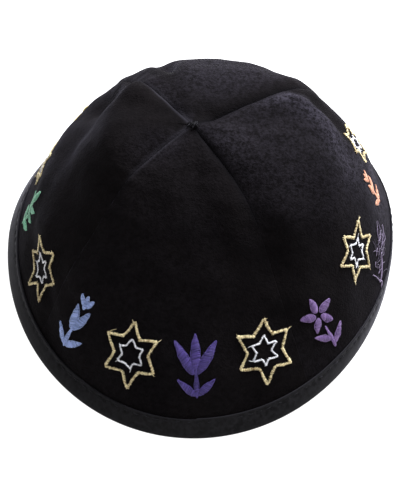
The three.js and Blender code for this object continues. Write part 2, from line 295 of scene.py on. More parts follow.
@dataclass(frozen=True)
class CapForm:
    """The form of the worn-in cap, which the cloth, the tape and the thread all lie on. Sizes are in metres.

    A place on it is an azimuth in degrees from the front towards the right, and a share of the way up.
    """

    rim_half_width: float = 85.5 * MM
    rim_front_reach: float = 103.5 * MM
    rim_back_reach: float = 80.0 * MM
    crown_rise: float = 74.0 * MM
    crown_right: float = 1.0 * MM
    crown_back: float = 1.5 * MM
    seam_dip: float = 2.6 * MM
    seam_reach: float = 8.0 * MM
    pucker_height: float = 0.30 * MM
    pucker_reach: float = 6.5 * MM
    pucker_count: float = 12.0
    pucker_drift: float = 2.2
    drift_pace: float = 9.0
    side_phase: float = 0.9
    crease_rounding: float = 0.5
    firm_rise: float = 0.30
    loose_groove: float = 0.12
    tip_ease: float = 0.06
    tip_groove: float = 0.25
    free_from: float = 0.06
    free_rise: float = 0.10
    tape_below: float = 0.35
    tip_above: float = 0.8
    soft_ripples: Ripples = field(default_factory=lambda: Ripples(5, 14, 16 * MM, 42 * MM, 0.34 * MM))
    fine_ripples: Ripples = field(default_factory=lambda: Ripples(9, 16, 6 * MM, 13 * MM, 0.07 * MM))

    @property
    def plan_back(self) -> float:
        """How far the plan's own middle stands behind the middle of the rim's box."""
        return (self.rim_front_reach - self.rim_back_reach) / 2

    @property
    def crown_plan(self) -> Array:
        """The crown point seen from above."""
        return np.array([self.crown_right, self.crown_back + self.plan_back])

    def read(self, along: Array) -> Array:
        """All columns of the sections, bent smoothly through their rows.

        Args:
            along: shares of the way up.

        Returns:
            The columns' values at each share, on the last axis, in the sections' own order.
        """
        along = np.asarray(along, float)
        row = np.clip(np.searchsorted(STATIONS, along, side="left") - 1, 0, len(STATIONS) - 2)
        step = (STATIONS[row + 1] - STATIONS[row])[..., None]
        s = (along - STATIONS[row])[..., None] / step
        return (
            (2 * s**3 - 3 * s**2 + 1) * COLUMNS[row]
            + (s**3 - 2 * s**2 + s) * step * SLOPES[row]
            + (3 * s**2 - 2 * s**3) * COLUMNS[row + 1]
            + (s**3 - s**2) * step * SLOPES[row + 1]
        )

    def plain(self, azimuth: Array, along: Array) -> Array:
        """The form before its seams and folds.

        Args:
            azimuth: degrees from the front towards the right.
            along: shares of the way up, as many as the azimuths.

        Returns:
            The points, with x, y and z on the last axis.
        """
        forward = np.cos(np.radians(azimuth))
        sideways = np.sin(np.radians(azimuth))
        sides = np.stack([forward, sideways, -forward, -sideways], axis=-1)
        shares = np.maximum(sides, 0) ** 2
        values = self.read(along)
        inward = (shares * values[..., 0:8:2]).sum(axis=-1)
        rise = (shares * values[..., 1:8:2]).sum(axis=-1)
        reach = np.where(forward > 0, self.rim_front_reach, self.rim_back_reach)
        rim = np.stack([self.rim_half_width * sideways, self.plan_back - reach * forward], axis=-1)
        plan = rim + (self.crown_plan - rim) * inward[..., None]
        return np.concatenate([plan, (rise * self.crown_rise)[..., None]], axis=-1)

    def outward(self, form: Callable[[Array, Array], Array], azimuth: Array, along: Array) -> Array:
        """The direction square to a form and facing out of the cap.

        Args:
            form: one of this class's own surfaces.
            azimuth: degrees from the front towards the right.
            along: shares of the way up.

        Returns:
            One direction for each place.
        """
        low = np.clip(along - ALONG_NUDGE, 0, 1)
        high = np.clip(along + ALONG_NUDGE, 0, 1)
        across = form(azimuth + AZIMUTH_NUDGE, along) - form(azimuth - AZIMUTH_NUDGE, along)
        up = form(azimuth, high) - form(azimuth, low)
        return unit(np.cross(across, up))

    def seam_azimuth(self, seam: Seam, along: Array) -> Array:
        """Where a seam runs at each share of the way up."""
        return seam.azimuth + seam.sway * np.sin(math.pi * along**3)

    def seam_offset(self, azimuth: Array, along: Array) -> tuple[Array, Array]:
        """How far each place lies to the side of the seam nearest to it.

        Args:
            azimuth: degrees from the front towards the right.
            along: shares of the way up.

        Returns:
            The distances in metres, with a sign for the side, and the number of the nearest seam.
        """
        point = self.plain(azimuth, along)
        radius = np.hypot(point[..., 0] - self.crown_plan[0], point[..., 1] - self.crown_plan[1])
        turns = np.stack([turn_between(self.seam_azimuth(seam, along), azimuth) for seam in SEAMS])
        nearest = np.argmin(np.abs(turns), axis=0)
        return radius * np.radians(np.take_along_axis(turns, nearest[None], axis=0)[0]), nearest

    def cloth(self, azimuth: Array, along: Array) -> Array:
        """The cloth with its seams drawn in and its folds, as the solid gores have it.

        Args:
            azimuth: degrees from the front towards the right.
            along: shares of the way up.

        Returns:
            The points.
        """
        offset = np.abs(self.seam_offset(azimuth, along)[0])
        lift = -self.seam_dip * self.read(along)[..., 8] * np.exp(-offset / self.seam_reach)
        lift = lift + self.crown_rise * strength_at(FOLDS, azimuth, along)
        return self.plain(azimuth, along) + self.outward(self.plain, azimuth, along) * lift[..., None]

    def skin(self, azimuth: Array, along: Array) -> Array:
        """The velvet's own face: the cloth with rolled seam edges, puckers beside them and small ripples.

        Args:
            azimuth: degrees from the front towards the right.
            along: shares of the way up.

        Returns:
            The points.
        """
        cloth = self.cloth(azimuth, along)
        offset, nearest = self.seam_offset(azimuth, along)
        aside = np.abs(offset)
        nearness = np.exp(-aside / seam_values("groove_reach", nearest))
        firm = ramp_up(along, seam_values("fades_at", nearest), self.firm_rise)
        groove = seam_values("groove", nearest) * (self.loose_groove + (1 - self.loose_groove) * firm)
        groove = groove * np.clip((1.0 - along) / self.tip_ease, self.tip_groove, 1)
        reach = aside / self.seam_reach
        eased = np.exp(self.crease_rounding - np.hypot(reach, self.crease_rounding)) - np.exp(-reach)
        gather = np.exp(-aside / self.pucker_reach) * (1 - nearness)
        phase = self.pucker_drift * np.sin(self.drift_pace * along) + np.sign(offset) * self.side_phase
        beat = np.sin(2 * math.pi * self.pucker_count * along + phase)
        ripples = self.soft_ripples.at(cloth) + self.fine_ripples.at(cloth)
        lift = (
            self.crown_rise * strength_at(CREASES, azimuth, along)
            - self.seam_dip * self.read(along)[..., 8] * eased * (1 - firm)
            - groove * nearness
            + (self.pucker_height * gather * beat + ripples) * ramp_up(along, self.free_from, self.free_rise)
        )
        return cloth + self.outward(self.plain, azimuth, along) * lift[..., None]

    def along_at_height(self, azimuth: Array, height: Array) -> Array:
        """The share of the way up at which the cloth stands at a height above the ground, near the rim.

        Args:
            azimuth: degrees from the front towards the right.
            height: the heights in metres.

        Returns:
            The shares.
        """
        start = np.zeros(np.shape(azimuth))
        end = start + self.tape_below
        return share_where(lambda along: self.cloth(azimuth, along)[..., 2] > height, start, end)

    def along_at_reach(self, azimuth: Array, reach: Array) -> Array:
        """The share of the way up that lies at a straight distance from the rim's own edge.

        Args:
            azimuth: degrees from the front towards the right.
            reach: the distances in metres.

        Returns:
            The shares.
        """
        start = np.zeros(np.shape(azimuth))
        edge = self.cloth(azimuth, start)

        def is_past(along: Array) -> Array:
            """Whether each share lies further from the edge than the reach."""
            return np.linalg.norm(self.cloth(azimuth, along) - edge, axis=-1) > reach

        return share_where(is_past, start, start + self.tape_below)

    def along_at_tip(self, azimuth: Array, radius: float | Array) -> Array:
        """The share of the way up at which the cloth comes within a small radius of the crown point.

        Args:
            azimuth: degrees from the front towards the right.
            radius: the radius in metres, one for all or one for each place.

        Returns:
            The shares.
        """
        start = np.full(np.shape(azimuth), self.tip_above)

        def is_near(along: Array) -> Array:
            """Whether each share lies within the radius."""
            offset = self.plain(azimuth, along)[..., :2] - self.crown_plan
            return np.linalg.norm(offset, axis=-1) < radius

        return share_where(is_near, start, np.ones(start.shape))

    def level_with(self, azimuth: Array, height: Array, distance: Array) -> Array:
        """Points at a height above the ground, a distance out of the cloth.

        Args:
            azimuth: degrees from the front towards the right.
            height: heights above the ground.
            distance: distances out of the cloth, negative inside it.

        Returns:
            The points.
        """
        along = self.along_at_height(azimuth, height)
        out = self.outward(self.cloth, azimuth, along)
        level = np.hypot(out[..., 0], out[..., 1])
        point = self.cloth(azimuth, along)
        point[..., 0] += out[..., 0] * distance / level**2
        point[..., 1] += out[..., 1] * distance / level**2
        point[..., 2] = height
        return point


@dataclass(frozen=True)
class MotifPlane:
    """A flat patch of embroidery that is wrapped onto the cloth round its middle.

    Its first direction runs beside the rim to the right, and its second one square to that, up the cloth.
    """

    form: CapForm
    azimuth: float
    along: float
    turn: float = 0.0
    reach: float = 20 * MM
    steps: int = 40

    @cached_property
    def spine(self) -> tuple[Array, Array, Array, Array]:
        """The patch's upright line on the cloth.

        Returns:
            The distances up from the middle, with the azimuth, share of the way up and metres per degree.
        """
        stride = self.reach / self.steps
        cloth = self.form.cloth
        rows: list[tuple[float, float, float, float]] = []
        for way in (-1.0, 1.0):
            azimuth, along = self.azimuth, self.along
            for step in range(self.steps + 1):
                here, high = np.array(azimuth), np.array(along)
                across = cloth(here + AZIMUTH_NUDGE, high) - cloth(here - AZIMUTH_NUDGE, high)
                up = (cloth(here, high + ALONG_NUDGE) - cloth(here, high - ALONG_NUDGE)) / (2 * ALONG_NUDGE)
                width = float(np.linalg.norm(across))
                slip = float(up @ across) / width
                climb = float(np.linalg.norm(up - across * (slip / width)))
                if way > 0 or step > 0:
                    rows.append((way * step * stride, azimuth, along, width))
                along += way * stride / climb
                azimuth -= way * stride * slip / (climb * width)
        rows.sort()
        table = np.array(rows)
        return table[:, 0], table[:, 1], table[:, 2], table[:, 3]

    def wrap(self, spots: Array, height: Array) -> tuple[Array, Array]:
        """Carries places of the patch onto the cap.

        Args:
            spots: metres to the right of the patch's middle and up from it, on the last axis.
            height: metres out of the cloth.

        Returns:
            The points, and the direction out of the cloth at each.
        """
        stations, azimuths, alongs, widths = self.spine
        cosine, sine = math.cos(math.radians(self.turn)), math.sin(math.radians(self.turn))
        right = spots[..., 0] * cosine + spots[..., 1] * sine
        up = spots[..., 1] * cosine - spots[..., 0] * sine
        along = np.interp(up, stations, alongs)
        azimuth = np.interp(up, stations, azimuths) + right / np.interp(up, stations, widths)
        out = self.form.outward(self.form.cloth, azimuth, along)
        return self.form.skin(azimuth, along) + out * np.asarray(height)[..., None], out


class Recipe:
    """A material in the making: its nodes, with short ways to add one and to join two."""

    def __init__(self, name: str) -> None:
        """Starts a material with the usual shader and its output.

        Args:
            name: the finish's name.
        """
        self.material = bpy.data.materials.new(name)
        self.material.use_nodes = True
        self.nodes = self.material.node_tree.nodes
        self.links = self.material.node_tree.links
        self.shader = self.nodes["Principled BSDF"]

    def node(self, kind: str, settings: dict[str, object] | None = None, **values: object) -> bpy.types.Node:
        """Adds a node.

        Args:
            kind: the node's type, without its family name.
            settings: the node's own settings.
            values: numbers and colours for its input sockets, by their names with _ for spaces.

        Returns:
            The node.
        """
        made = self.nodes.new(f"ShaderNode{kind}")
        for name, value in (settings or {}).items():
            setattr(made, name, value)
        for name, value in values.items():
            made.inputs[name.replace("_", " ")].default_value = value
        return made

    def join(self, source: Socket, target: Socket) -> None:
        """Links one socket to another."""
        self.links.new(source, target)

    def set(self, **values: object) -> None:
        """Sets numbers and colours on the shader's own sockets, by their names with _ for spaces."""
        for name, value in values.items():
            self.shader.inputs[name.replace("_", " ")].default_value = value

    def feed(self, **sources: Socket) -> None:
        """Links patterns to the shader's own sockets, by their names with _ for spaces."""
        for name, source in sources.items():
            self.join(source, self.shader.inputs[name.replace("_", " ")])

    def place(self) -> Socket:
        """Where each spot of the piece lies."""
        return self.node("TexCoord").outputs["Object"]

    def laid(self, name: str) -> Socket:
        """A UV map of the piece."""
        return self.node("UVMap", {"uv_map": name}).outputs["UV"]

    def mark(self, name: str) -> Socket:
        """A number that the piece's vertices carry."""
        return self.node("Attribute", {"attribute_name": name}).outputs["Fac"]

    def noise(self, place: Socket, scale: float, detail: float, warp: float = 0.0) -> Socket:
        """A noise pattern.

        Args:
            place: the coordinates that it reads.
            scale: how many patches it has to a metre.
            detail: how many finer layers it has.
            warp: how much it twists itself.

        Returns:
            The socket with its height, about 0 to 1.
        """
        made = self.node("TexNoise", Scale=scale, Detail=detail, Distortion=warp)
        self.join(place, made.inputs["Vector"])
        return made.outputs["Fac"]

    def ramp(self, source: Socket, stops: list[tuple[float, Color]]) -> Socket:
        """Turns a number into a colour.

        Args:
            source: the number's socket.
            stops: places from 0 to 1, each with its colour.

        Returns:
            The socket with the colour.
        """
        made = self.node("ValToRGB")
        elements = made.color_ramp.elements
        while len(elements) < len(stops):
            elements.new(0.5)
        for element, (place, color) in zip(elements, stops):
            element.position = place
            element.color = color
        self.join(source, made.inputs["Fac"])
        return made.outputs["Color"]

    def span(self, source: Socket, low: float, high: float) -> Socket:
        """Stretches a number from the range 0.3 to 0.7 onto another range.

        Args:
            source: the number's socket.
            low: what 0.3 becomes.
            high: what 0.7 becomes.

        Returns:
            The socket with the new number.
        """
        made = self.node("MapRange", From_Min=0.3, From_Max=0.7, To_Min=low, To_Max=high)
        self.join(source, made.inputs["Value"])
        return made.outputs["Result"]

    def bump(self, height: Socket, strength: float, depth: float, under: Socket | None = None) -> Socket:
        """Raises the surface by a pattern.

        Args:
            height: the pattern's socket.
            strength: how much of it shows.
            depth: its depth in metres.
            under: another bump that it lies on.

        Returns:
            The socket with the bent normal.
        """
        made = self.node("Bump", Strength=strength, Distance=depth)
        self.join(height, made.inputs["Height"])
        if under is not None:
            self.join(under, made.inputs["Normal"])
        return made.outputs["Normal"]

    def mix(
        self, share: float | Socket, first: Color | Socket, second: Color | Socket, blend: str = "MIX"
    ) -> Socket:
        """Mixes two colours.

        Args:
            share: the second one's share, or the socket with it.
            first: a colour or a socket.
            second: a colour or a socket.
            blend: how the second one lies on the first.

        Returns:
            The socket with the mixed colour.
        """
        made = self.node("Mix", {"data_type": "RGBA", "blend_type": blend})
        for socket, value in ((made.inputs[0], share), (made.inputs[6], first), (made.inputs[7], second)):
            if isinstance(value, Socket):
                self.join(value, socket)
            else:
                socket.default_value = value
        return made.outputs[2]

    def average(self, first: Socket, second: Socket, share: float) -> Socket:
        """Mixes two numbers.

        Args:
            first: one number's socket.
            second: the other's.
            share: the second one's share.

        Returns:
            The socket with the mixed number.
        """
        made = self.node("Mix", {"data_type": "FLOAT"}, Factor=share)
        self.join(first, made.inputs[2])
        self.join(second, made.inputs[3])
        return made.outputs[0]


@dataclass(frozen=True)
class Velvet:
    """Black cotton velvet: hardly any light but a grey-violet sheen, and painted sheen and shade."""

    name: str = "black_velvet"
    deep: tuple[Color, Color] = ((0.0031, 0.0025, 0.0028, 1.0), (0.0056, 0.0046, 0.0050, 1.0))
    lit: tuple[Color, Color] = ((0.0080, 0.0073, 0.0098, 1.0), (0.0860, 0.0790, 0.1060, 1.0))
    # Painted shade in the seam grooves.
    groove_shade: Color = (0.0040, 0.0036, 0.0044, 1.0)
    # Painted highlight on the seams' rolled edges.
    pale_edge_tone: Color = (0.0230, 0.0215, 0.0265, 1.0)
    brushed: Color = (0.66, 0.66, 0.68, 1.0)
    tuft_share: float = 0.55
    nap_depth: float = 0.50 * MM
    tuft_depth: float = 0.45 * MM
    pile_depth: float = 0.22 * MM
    sheen: float = 0.028
    sheen_roughness: float = 0.34
    sheen_tint: Color = (0.66, 0.63, 0.86, 1.0)

    def material(self) -> Material:
        """Builds the finish.

        Returns:
            The material.
        """
        recipe = Recipe(self.name)
        place = recipe.place()
        sweep = recipe.noise(place, 30.0, 2.0, 0.5)
        nap = recipe.noise(place, 430.0, 3.0, 0.3)
        tufts = recipe.noise(place, 980.0, 3.0, 0.3)
        pile = recipe.noise(place, 2300.0, 2.0)
        grain = recipe.average(nap, tufts, self.tuft_share)
        black = recipe.ramp(grain, [(0.36, self.deep[0]), (0.62, self.deep[1])])
        pale = recipe.ramp(grain, [(0.40, self.lit[0]), (0.60, self.lit[1])])
        # Painted sheen and shade: the velvet's colour grows paler as the vertices' mark of painted light
        # rises.
        base = recipe.mix(recipe.mark("painted_light"), black, pale)
        # Painted shade darkens the seam grooves.
        groove_shade = recipe.mix(recipe.mark("painted_groove_shade"), base, self.groove_shade)
        # Painted highlight on the seams' rolled edges.
        pale_edge_tone = recipe.mix(recipe.mark("painted_edge_highlight"), groove_shade, self.pale_edge_tone)
        swept = recipe.ramp(sweep, [(0.35, self.brushed), (0.65, WHITE)])
        lay = recipe.bump(nap, 0.35, self.nap_depth)
        clumps = recipe.bump(tufts, 0.70, self.tuft_depth, lay)
        recipe.feed(
            Base_Color=recipe.mix(1.0, pale_edge_tone, swept, "MULTIPLY"),
            Roughness=recipe.span(tufts, 0.82, 1.0),
            Normal=recipe.bump(pile, 0.70, self.pile_depth, clumps),
        )
        recipe.set(
            Specular_IOR_Level=0.03,
            Sheen_Weight=self.sheen,
            Sheen_Roughness=self.sheen_roughness,
            Sheen_Tint=self.sheen_tint,
        )
        return recipe.material


@dataclass(frozen=True)
class Backing:
    """The woven back of the velvet, which is the inside of the cap: a plain dark cotton weave."""

    name: str = "velvet_backing"
    dark: Color = (0.010, 0.010, 0.012, 1.0)
    pale: Color = (0.030, 0.029, 0.034, 1.0)
    slub_shade: Color = (0.72, 0.72, 0.72, 1.0)
    threads_per_metre: float = 1500.0

    def material(self) -> Material:
        """Builds the finish.

        Returns:
            The material.
        """
        recipe = Recipe(self.name)
        cloth = recipe.laid("cloth")
        weave = recipe.node("Math", {"operation": "MULTIPLY"})
        for number, direction in enumerate(("X", "Y")):
            settings = {"bands_direction": direction}
            wave = recipe.node("TexWave", settings, Scale=self.threads_per_metre / 20, Distortion=0.4)
            recipe.join(cloth, wave.inputs["Vector"])
            recipe.join(wave.outputs["Fac"], weave.inputs[number])
        threads = weave.outputs["Value"]
        base = recipe.ramp(threads, [(0.1, self.dark), (0.9, self.pale)])
        slub = recipe.noise(recipe.place(), 260.0, 3.0)
        shade = recipe.ramp(slub, [(0.3, self.slub_shade), (0.7, WHITE)])
        recipe.feed(
            Base_Color=recipe.mix(1.0, base, shade, "MULTIPLY"),
            Roughness=recipe.span(slub, 0.8, 0.95),
            Normal=recipe.bump(threads, 0.6, 0.15 * MM),
        )
        recipe.set(Specular_IOR_Level=0.25, Sheen_Weight=0.12, Sheen_Roughness=0.5)
        return recipe.material


@dataclass(frozen=True)
class WovenTape:
    """Charcoal twill tape with a low sheen, fine slanting ribs and paler, bluer edges."""

    name: str = "charcoal_tape"
    dark: Color = (0.0016, 0.0015, 0.0018, 1.0)
    pale: Color = (0.0100, 0.0096, 0.0112, 1.0)
    pale_edge_tone: Color = (0.0100, 0.0095, 0.0122, 1.0)
    sheen_tint: Color = (0.68, 0.66, 0.84, 1.0)
    rib_slant: float = 52.0

    def material(self) -> Material:
        """Builds the finish.

        Returns:
            The material.
        """
        recipe = Recipe(self.name)
        place = recipe.place()
        turned = recipe.node("Mapping", Rotation=(0.0, 0.0, math.radians(self.rib_slant)))
        recipe.join(recipe.laid("strip"), turned.inputs["Vector"])
        ribs = recipe.node("TexWave", Scale=58.0, Distortion=0.8, Detail=2.0, Detail_Scale=4.0)
        recipe.join(turned.outputs["Vector"], ribs.inputs["Vector"])
        mottle = recipe.noise(place, 520.0, 4.0, 0.5)
        grain = recipe.noise(place, 1700.0, 2.0)
        base = recipe.ramp(mottle, [(0.36, self.dark), (0.66, self.pale)])
        twill = recipe.bump(ribs.outputs["Fac"], 0.35, 0.14 * MM)
        recipe.feed(
            Base_Color=recipe.mix(recipe.mark("edge_nearness"), base, self.pale_edge_tone),
            Roughness=recipe.span(mottle, 0.50, 0.72),
            Normal=recipe.bump(grain, 0.45, 0.12 * MM, twill),
        )
        recipe.set(
            Specular_IOR_Level=0.10, Sheen_Weight=0.09, Sheen_Roughness=0.40, Sheen_Tint=self.sheen_tint
        )
        return recipe.material


@dataclass(frozen=True)
class SatinThread:
    """Shiny embroidery thread: two plies twisted together, with a shade of its own for each stitch."""

    name: str
    dark: Color
    pale: Color
    roughness: float = 0.36
    gloss: float = 0.5
    sheen: float = 0.2
    ply_shade: Color = (0.72, 0.72, 0.72, 1.0)

    def material(self) -> Material:
        """Builds the finish.

        Returns:
            The material.
        """
        recipe = Recipe(self.name)
        plies = recipe.node("TexWave", {"bands_direction": "DIAGONAL"}, Scale=2.4, Distortion=0.3)
        recipe.join(recipe.laid("strand"), plies.inputs["Vector"])
        twist = plies.outputs["Fac"]
        base = recipe.mix(recipe.mark("shade"), self.dark, self.pale)
        fuzz = recipe.noise(recipe.place(), 1500.0, 2.0)
        dim = recipe.ramp(twist, [(0.0, self.ply_shade), (0.6, WHITE)])
        recipe.feed(
            Base_Color=recipe.mix(fuzz, base, dim, "MULTIPLY"),
            Roughness=recipe.span(fuzz, self.roughness - 0.06, self.roughness + 0.12),
            Normal=recipe.bump(twist, 0.5, 0.05 * MM),
        )
        recipe.set(Specular_IOR_Level=self.gloss, Sheen_Weight=self.sheen, Sheen_Roughness=0.4)
        return recipe.material


@dataclass(frozen=True)
class FloorFinish:
    """The studio's white table top, matt and evenly lit from within, so that it keeps no dark shadow."""

    name: str = "studio_table"
    glow: float = 0.90
    grey: tuple[Color, Color] = ((0.36, 0.36, 0.36, 1.0), (0.40, 0.40, 0.40, 1.0))

    def material(self) -> Material:
        """Builds the finish.

        Returns:
            The material.
        """
        recipe = Recipe(self.name)
        place = recipe.place()
        mottle = recipe.noise(place, 3.0, 2.0)
        recipe.feed(
            Base_Color=recipe.ramp(mottle, [(0.3, self.grey[0]), (0.7, self.grey[1])]),
            Normal=recipe.bump(recipe.noise(place, 900.0, 2.0), 0.05, 0.1 * MM),
        )
        recipe.set(Roughness=0.95, Specular_IOR_Level=0.0, Emission_Color=WHITE, Emission_Strength=self.glow)
        return recipe.material


class ThreadTone(Enum):
    """The threads of the embroidery, each with its darker and its paler shade."""

    GOLD = ((0.24, 0.155, 0.050, 1.0), (0.88, 0.76, 0.44, 1.0))
    SILVER = ((0.50, 0.51, 0.56, 1.0), (0.92, 0.92, 0.96, 1.0))
    INDIGO = ((0.028, 0.016, 0.120, 1.0), (0.100, 0.066, 0.310, 1.0))
    SKY = ((0.170, 0.235, 0.470, 1.0), (0.420, 0.530, 0.900, 1.0))
    VIOLET = ((0.095, 0.048, 0.170, 1.0), (0.240, 0.145, 0.350, 1.0))
    GREEN = ((0.070, 0.260, 0.150, 1.0), (0.280, 0.620, 0.420, 1.0))
    ORANGE = ((0.400, 0.140, 0.075, 1.0), (0.700, 0.370, 0.240, 1.0))
    ROSE = ((0.430, 0.050, 0.140, 1.0), (0.820, 0.220, 0.340, 1.0))
    TURQUOISE = ((0.020, 0.220, 0.280, 1.0), (0.080, 0.520, 0.580, 1.0))
    YELLOW = ((0.560, 0.400, 0.040, 1.0), (0.940, 0.760, 0.160, 1.0))
    LILAC = ((0.045, 0.034, 0.062, 1.0), (0.300, 0.235, 0.370, 1.0))
    BLACK = ((0.003, 0.003, 0.004, 1.0), (0.015, 0.014, 0.018, 1.0))


class ThreadBox:
    """The reels of thread: one material for each tone, made when it is first asked for."""

    def __init__(self) -> None:
        """Starts with no reel wound."""
        self.wound: dict[ThreadTone, Material] = {}

    def reel(self, tone: ThreadTone) -> Material:
        """The material of a tone.

        Args:
            tone: which thread it is.

        Returns:
            Its material, the same one each time.
        """
        if tone not in self.wound:
            dark, pale = tone.value
            name = f"{tone.name.lower()}_thread"
            if tone in (ThreadTone.GOLD, ThreadTone.SILVER):
                finish = SatinThread(name, dark, pale, roughness=0.30)
            elif tone is ThreadTone.BLACK:
                finish = SatinThread(name, dark, pale, roughness=0.62, gloss=0.10, sheen=0.03)
            else:
                finish = SatinThread(name, dark, pale, roughness=0.42, gloss=0.40, sheen=0.12)
            self.wound[tone] = finish.material()
        return self.wound[tone]


def piece_from(mesh: bpy.types.Mesh, name: str) -> bpy.types.Object:
    """Makes a mesh into a piece that rides with the cap.

    Args:
        mesh: the finished mesh, in metres.
        name: the piece's name.

    Returns:
        The piece's object.
    """
    piece = bpy.data.objects.new(name, mesh)
    bpy.context.scene.collection.objects.link(piece)
    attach(piece, "root")
    log.info("%s: %d faces", name, len(mesh.polygons))
    return piece


def finish_mesh(bm: bmesh.types.BMesh, name: str) -> bpy.types.Mesh:
    """Makes a smooth mesh of what was built, and clears the workbench.

    Args:
        bm: what was built.
        name: the mesh's name.

    Returns:
        The mesh.
    """
    for face in bm.faces:
        face.smooth = True
    mesh = bpy.data.meshes.new(name)
    bm.to_mesh(mesh)
    bm.free()
    return mesh


def vertex_places(mesh: bpy.types.Mesh) -> Array:
    """The places of a mesh's vertices, one to a row.

    Args:
        mesh: the mesh.

    Returns:
        An array with x, y and z on its last axis.
    """
    at = np.empty(len(mesh.vertices) * 3)
    mesh.vertices.foreach_get("co", at)
    return at.reshape(-1, 3)


def lay_uv(mesh: bpy.types.Mesh, name: str, corner_places: Array) -> None:
    """Writes a UV map.

    Args:
        mesh: the mesh that gets it.
        name: the map's name.
        corner_places: two numbers for each face corner.
    """
    layer = mesh.uv_layers.new(name=name)
    layer.data.foreach_set("uv", np.ascontiguousarray(corner_places, np.float32).ravel())


def mark_points(mesh: bpy.types.Mesh, name: str, values: Array) -> None:
    """Writes a number on every vertex of a mesh, for its material to read."""
    mark = mesh.attributes.new(name=name, type="FLOAT", domain="POINT")
    mark.data.foreach_set("value", np.ascontiguousarray(values, np.float32).ravel())


def corner_vertices(mesh: bpy.types.Mesh) -> Array:
    """The vertex that each face corner of a mesh stands on.

    Args:
        mesh: the mesh.

    Returns:
        One vertex number for each corner.
    """
    corners = np.empty(len(mesh.loops), np.int32)
    mesh.loops.foreach_get("vertex_index", corners)
    return corners


@dataclass
class ThreadWork:
    """Thread laid on the cap, gathered into one mesh. Each strand is the same tube, bent to its path."""

    rings: int = 5
    sides: int = 5
    blunt_end: float = 0.5
    points: list[Array] = field(default_factory=list)
    outs: list[Array] = field(default_factory=list)
    radii: list[Array] = field(default_factory=list)
    shades: list[Array] = field(default_factory=list)
    finishes: list[Array] = field(default_factory=list)

    def lay(
        self, points: Array, outs: Array, radius: Array | float, shade: Array | float, finish: int = 0
    ) -> None:
        """Adds strands.

        Args:
            points: for each strand, the middle of each ring.
            outs: the direction out of the cloth at each ring.
            radius: the thread's radius, one for all or one for each.
            shade: from 0, the darker shade, to 1, the paler one.
            finish: which of the mesh's materials they take.
        """
        count = len(points)
        self.points.append(points)
        self.outs.append(outs)
        self.radii.append(np.broadcast_to(radius, (count,)))
        self.shades.append(np.broadcast_to(shade, (count,)))
        self.finishes.append(np.full(count, finish))

    def tube(self) -> bpy.types.Mesh:
        """The straight strand that all are made from, with a ring at every whole number up its axis.

        Returns:
            The strand's mesh.
        """
        bm = bmesh.new()
        length = self.rings - 1
        bmesh.ops.create_cone(bm, cap_ends=True, segments=self.sides, radius1=1.0, radius2=1.0, depth=length)
        sides = [edge for edge in bm.edges if abs(edge.verts[0].co.z - edge.verts[1].co.z) > 0.5]
        bmesh.ops.subdivide_edges(bm, edges=sides, cuts=self.rings - 2, use_grid_fill=True)
        bmesh.ops.translate(bm, vec=(0.0, 0.0, length / 2), verts=bm.verts[:])
        return finish_mesh(bm, "strand")

    def build(self, name: str, materials: list[Material]) -> bpy.types.Object:
        """Makes the piece.

        Args:
            name: the piece's name.
            materials: the threads that its strands take.

        Returns:
            The piece's object.
        """
        points = np.concatenate(self.points)
        outs = np.concatenate(self.outs)
        strand = self.tube()
        bm = bmesh.new()
        for _ in range(len(points)):
            bm.from_mesh(strand)
        mesh = finish_mesh(bm, name)
        at = vertex_places(mesh).reshape(len(points), -1, 3)
        ring = np.clip(np.rint(at[..., 2]).astype(int), 0, self.rings - 1)
        angle = np.arctan2(at[..., 1], at[..., 0])
        ahead = unit(np.gradient(points, axis=1))
        side = unit(np.cross(outs, ahead))
        up = np.cross(ahead, side)
        width = np.ones(self.rings)
        width[0] = width[-1] = self.blunt_end
        radius = np.concatenate(self.radii)[:, None] * width[ring]
        each = np.arange(len(points))[:, None]
        moved = points[each, ring] + radius[..., None] * (
            np.cos(angle)[..., None] * side[each, ring] + np.sin(angle)[..., None] * up[each, ring]
        )
        mesh.vertices.foreach_set("co", moved.ravel())
        steps = np.linalg.norm(np.diff(points, axis=1), axis=-1)
        run = np.concatenate([np.zeros((len(points), 1)), np.cumsum(steps, axis=1)], axis=1) / MM
        turned = np.mod(angle / (2 * math.pi) + 0.25, 1.0)
        places = np.stack([run[each, ring], turned], axis=-1).reshape(-1, 2)
        lay_uv(mesh, "strand", places[corner_vertices(mesh)])
        mark_points(mesh, "shade", np.repeat(np.concatenate(self.shades), at.shape[1]))
        finishes = np.repeat(np.concatenate(self.finishes), len(mesh.polygons) // len(points))
        mesh.polygons.foreach_set("material_index", finishes.astype(np.int32))
        for material in materials:
            mesh.materials.append(material)
        mesh.update()
        bpy.data.meshes.remove(strand)
        return piece_from(mesh, name)


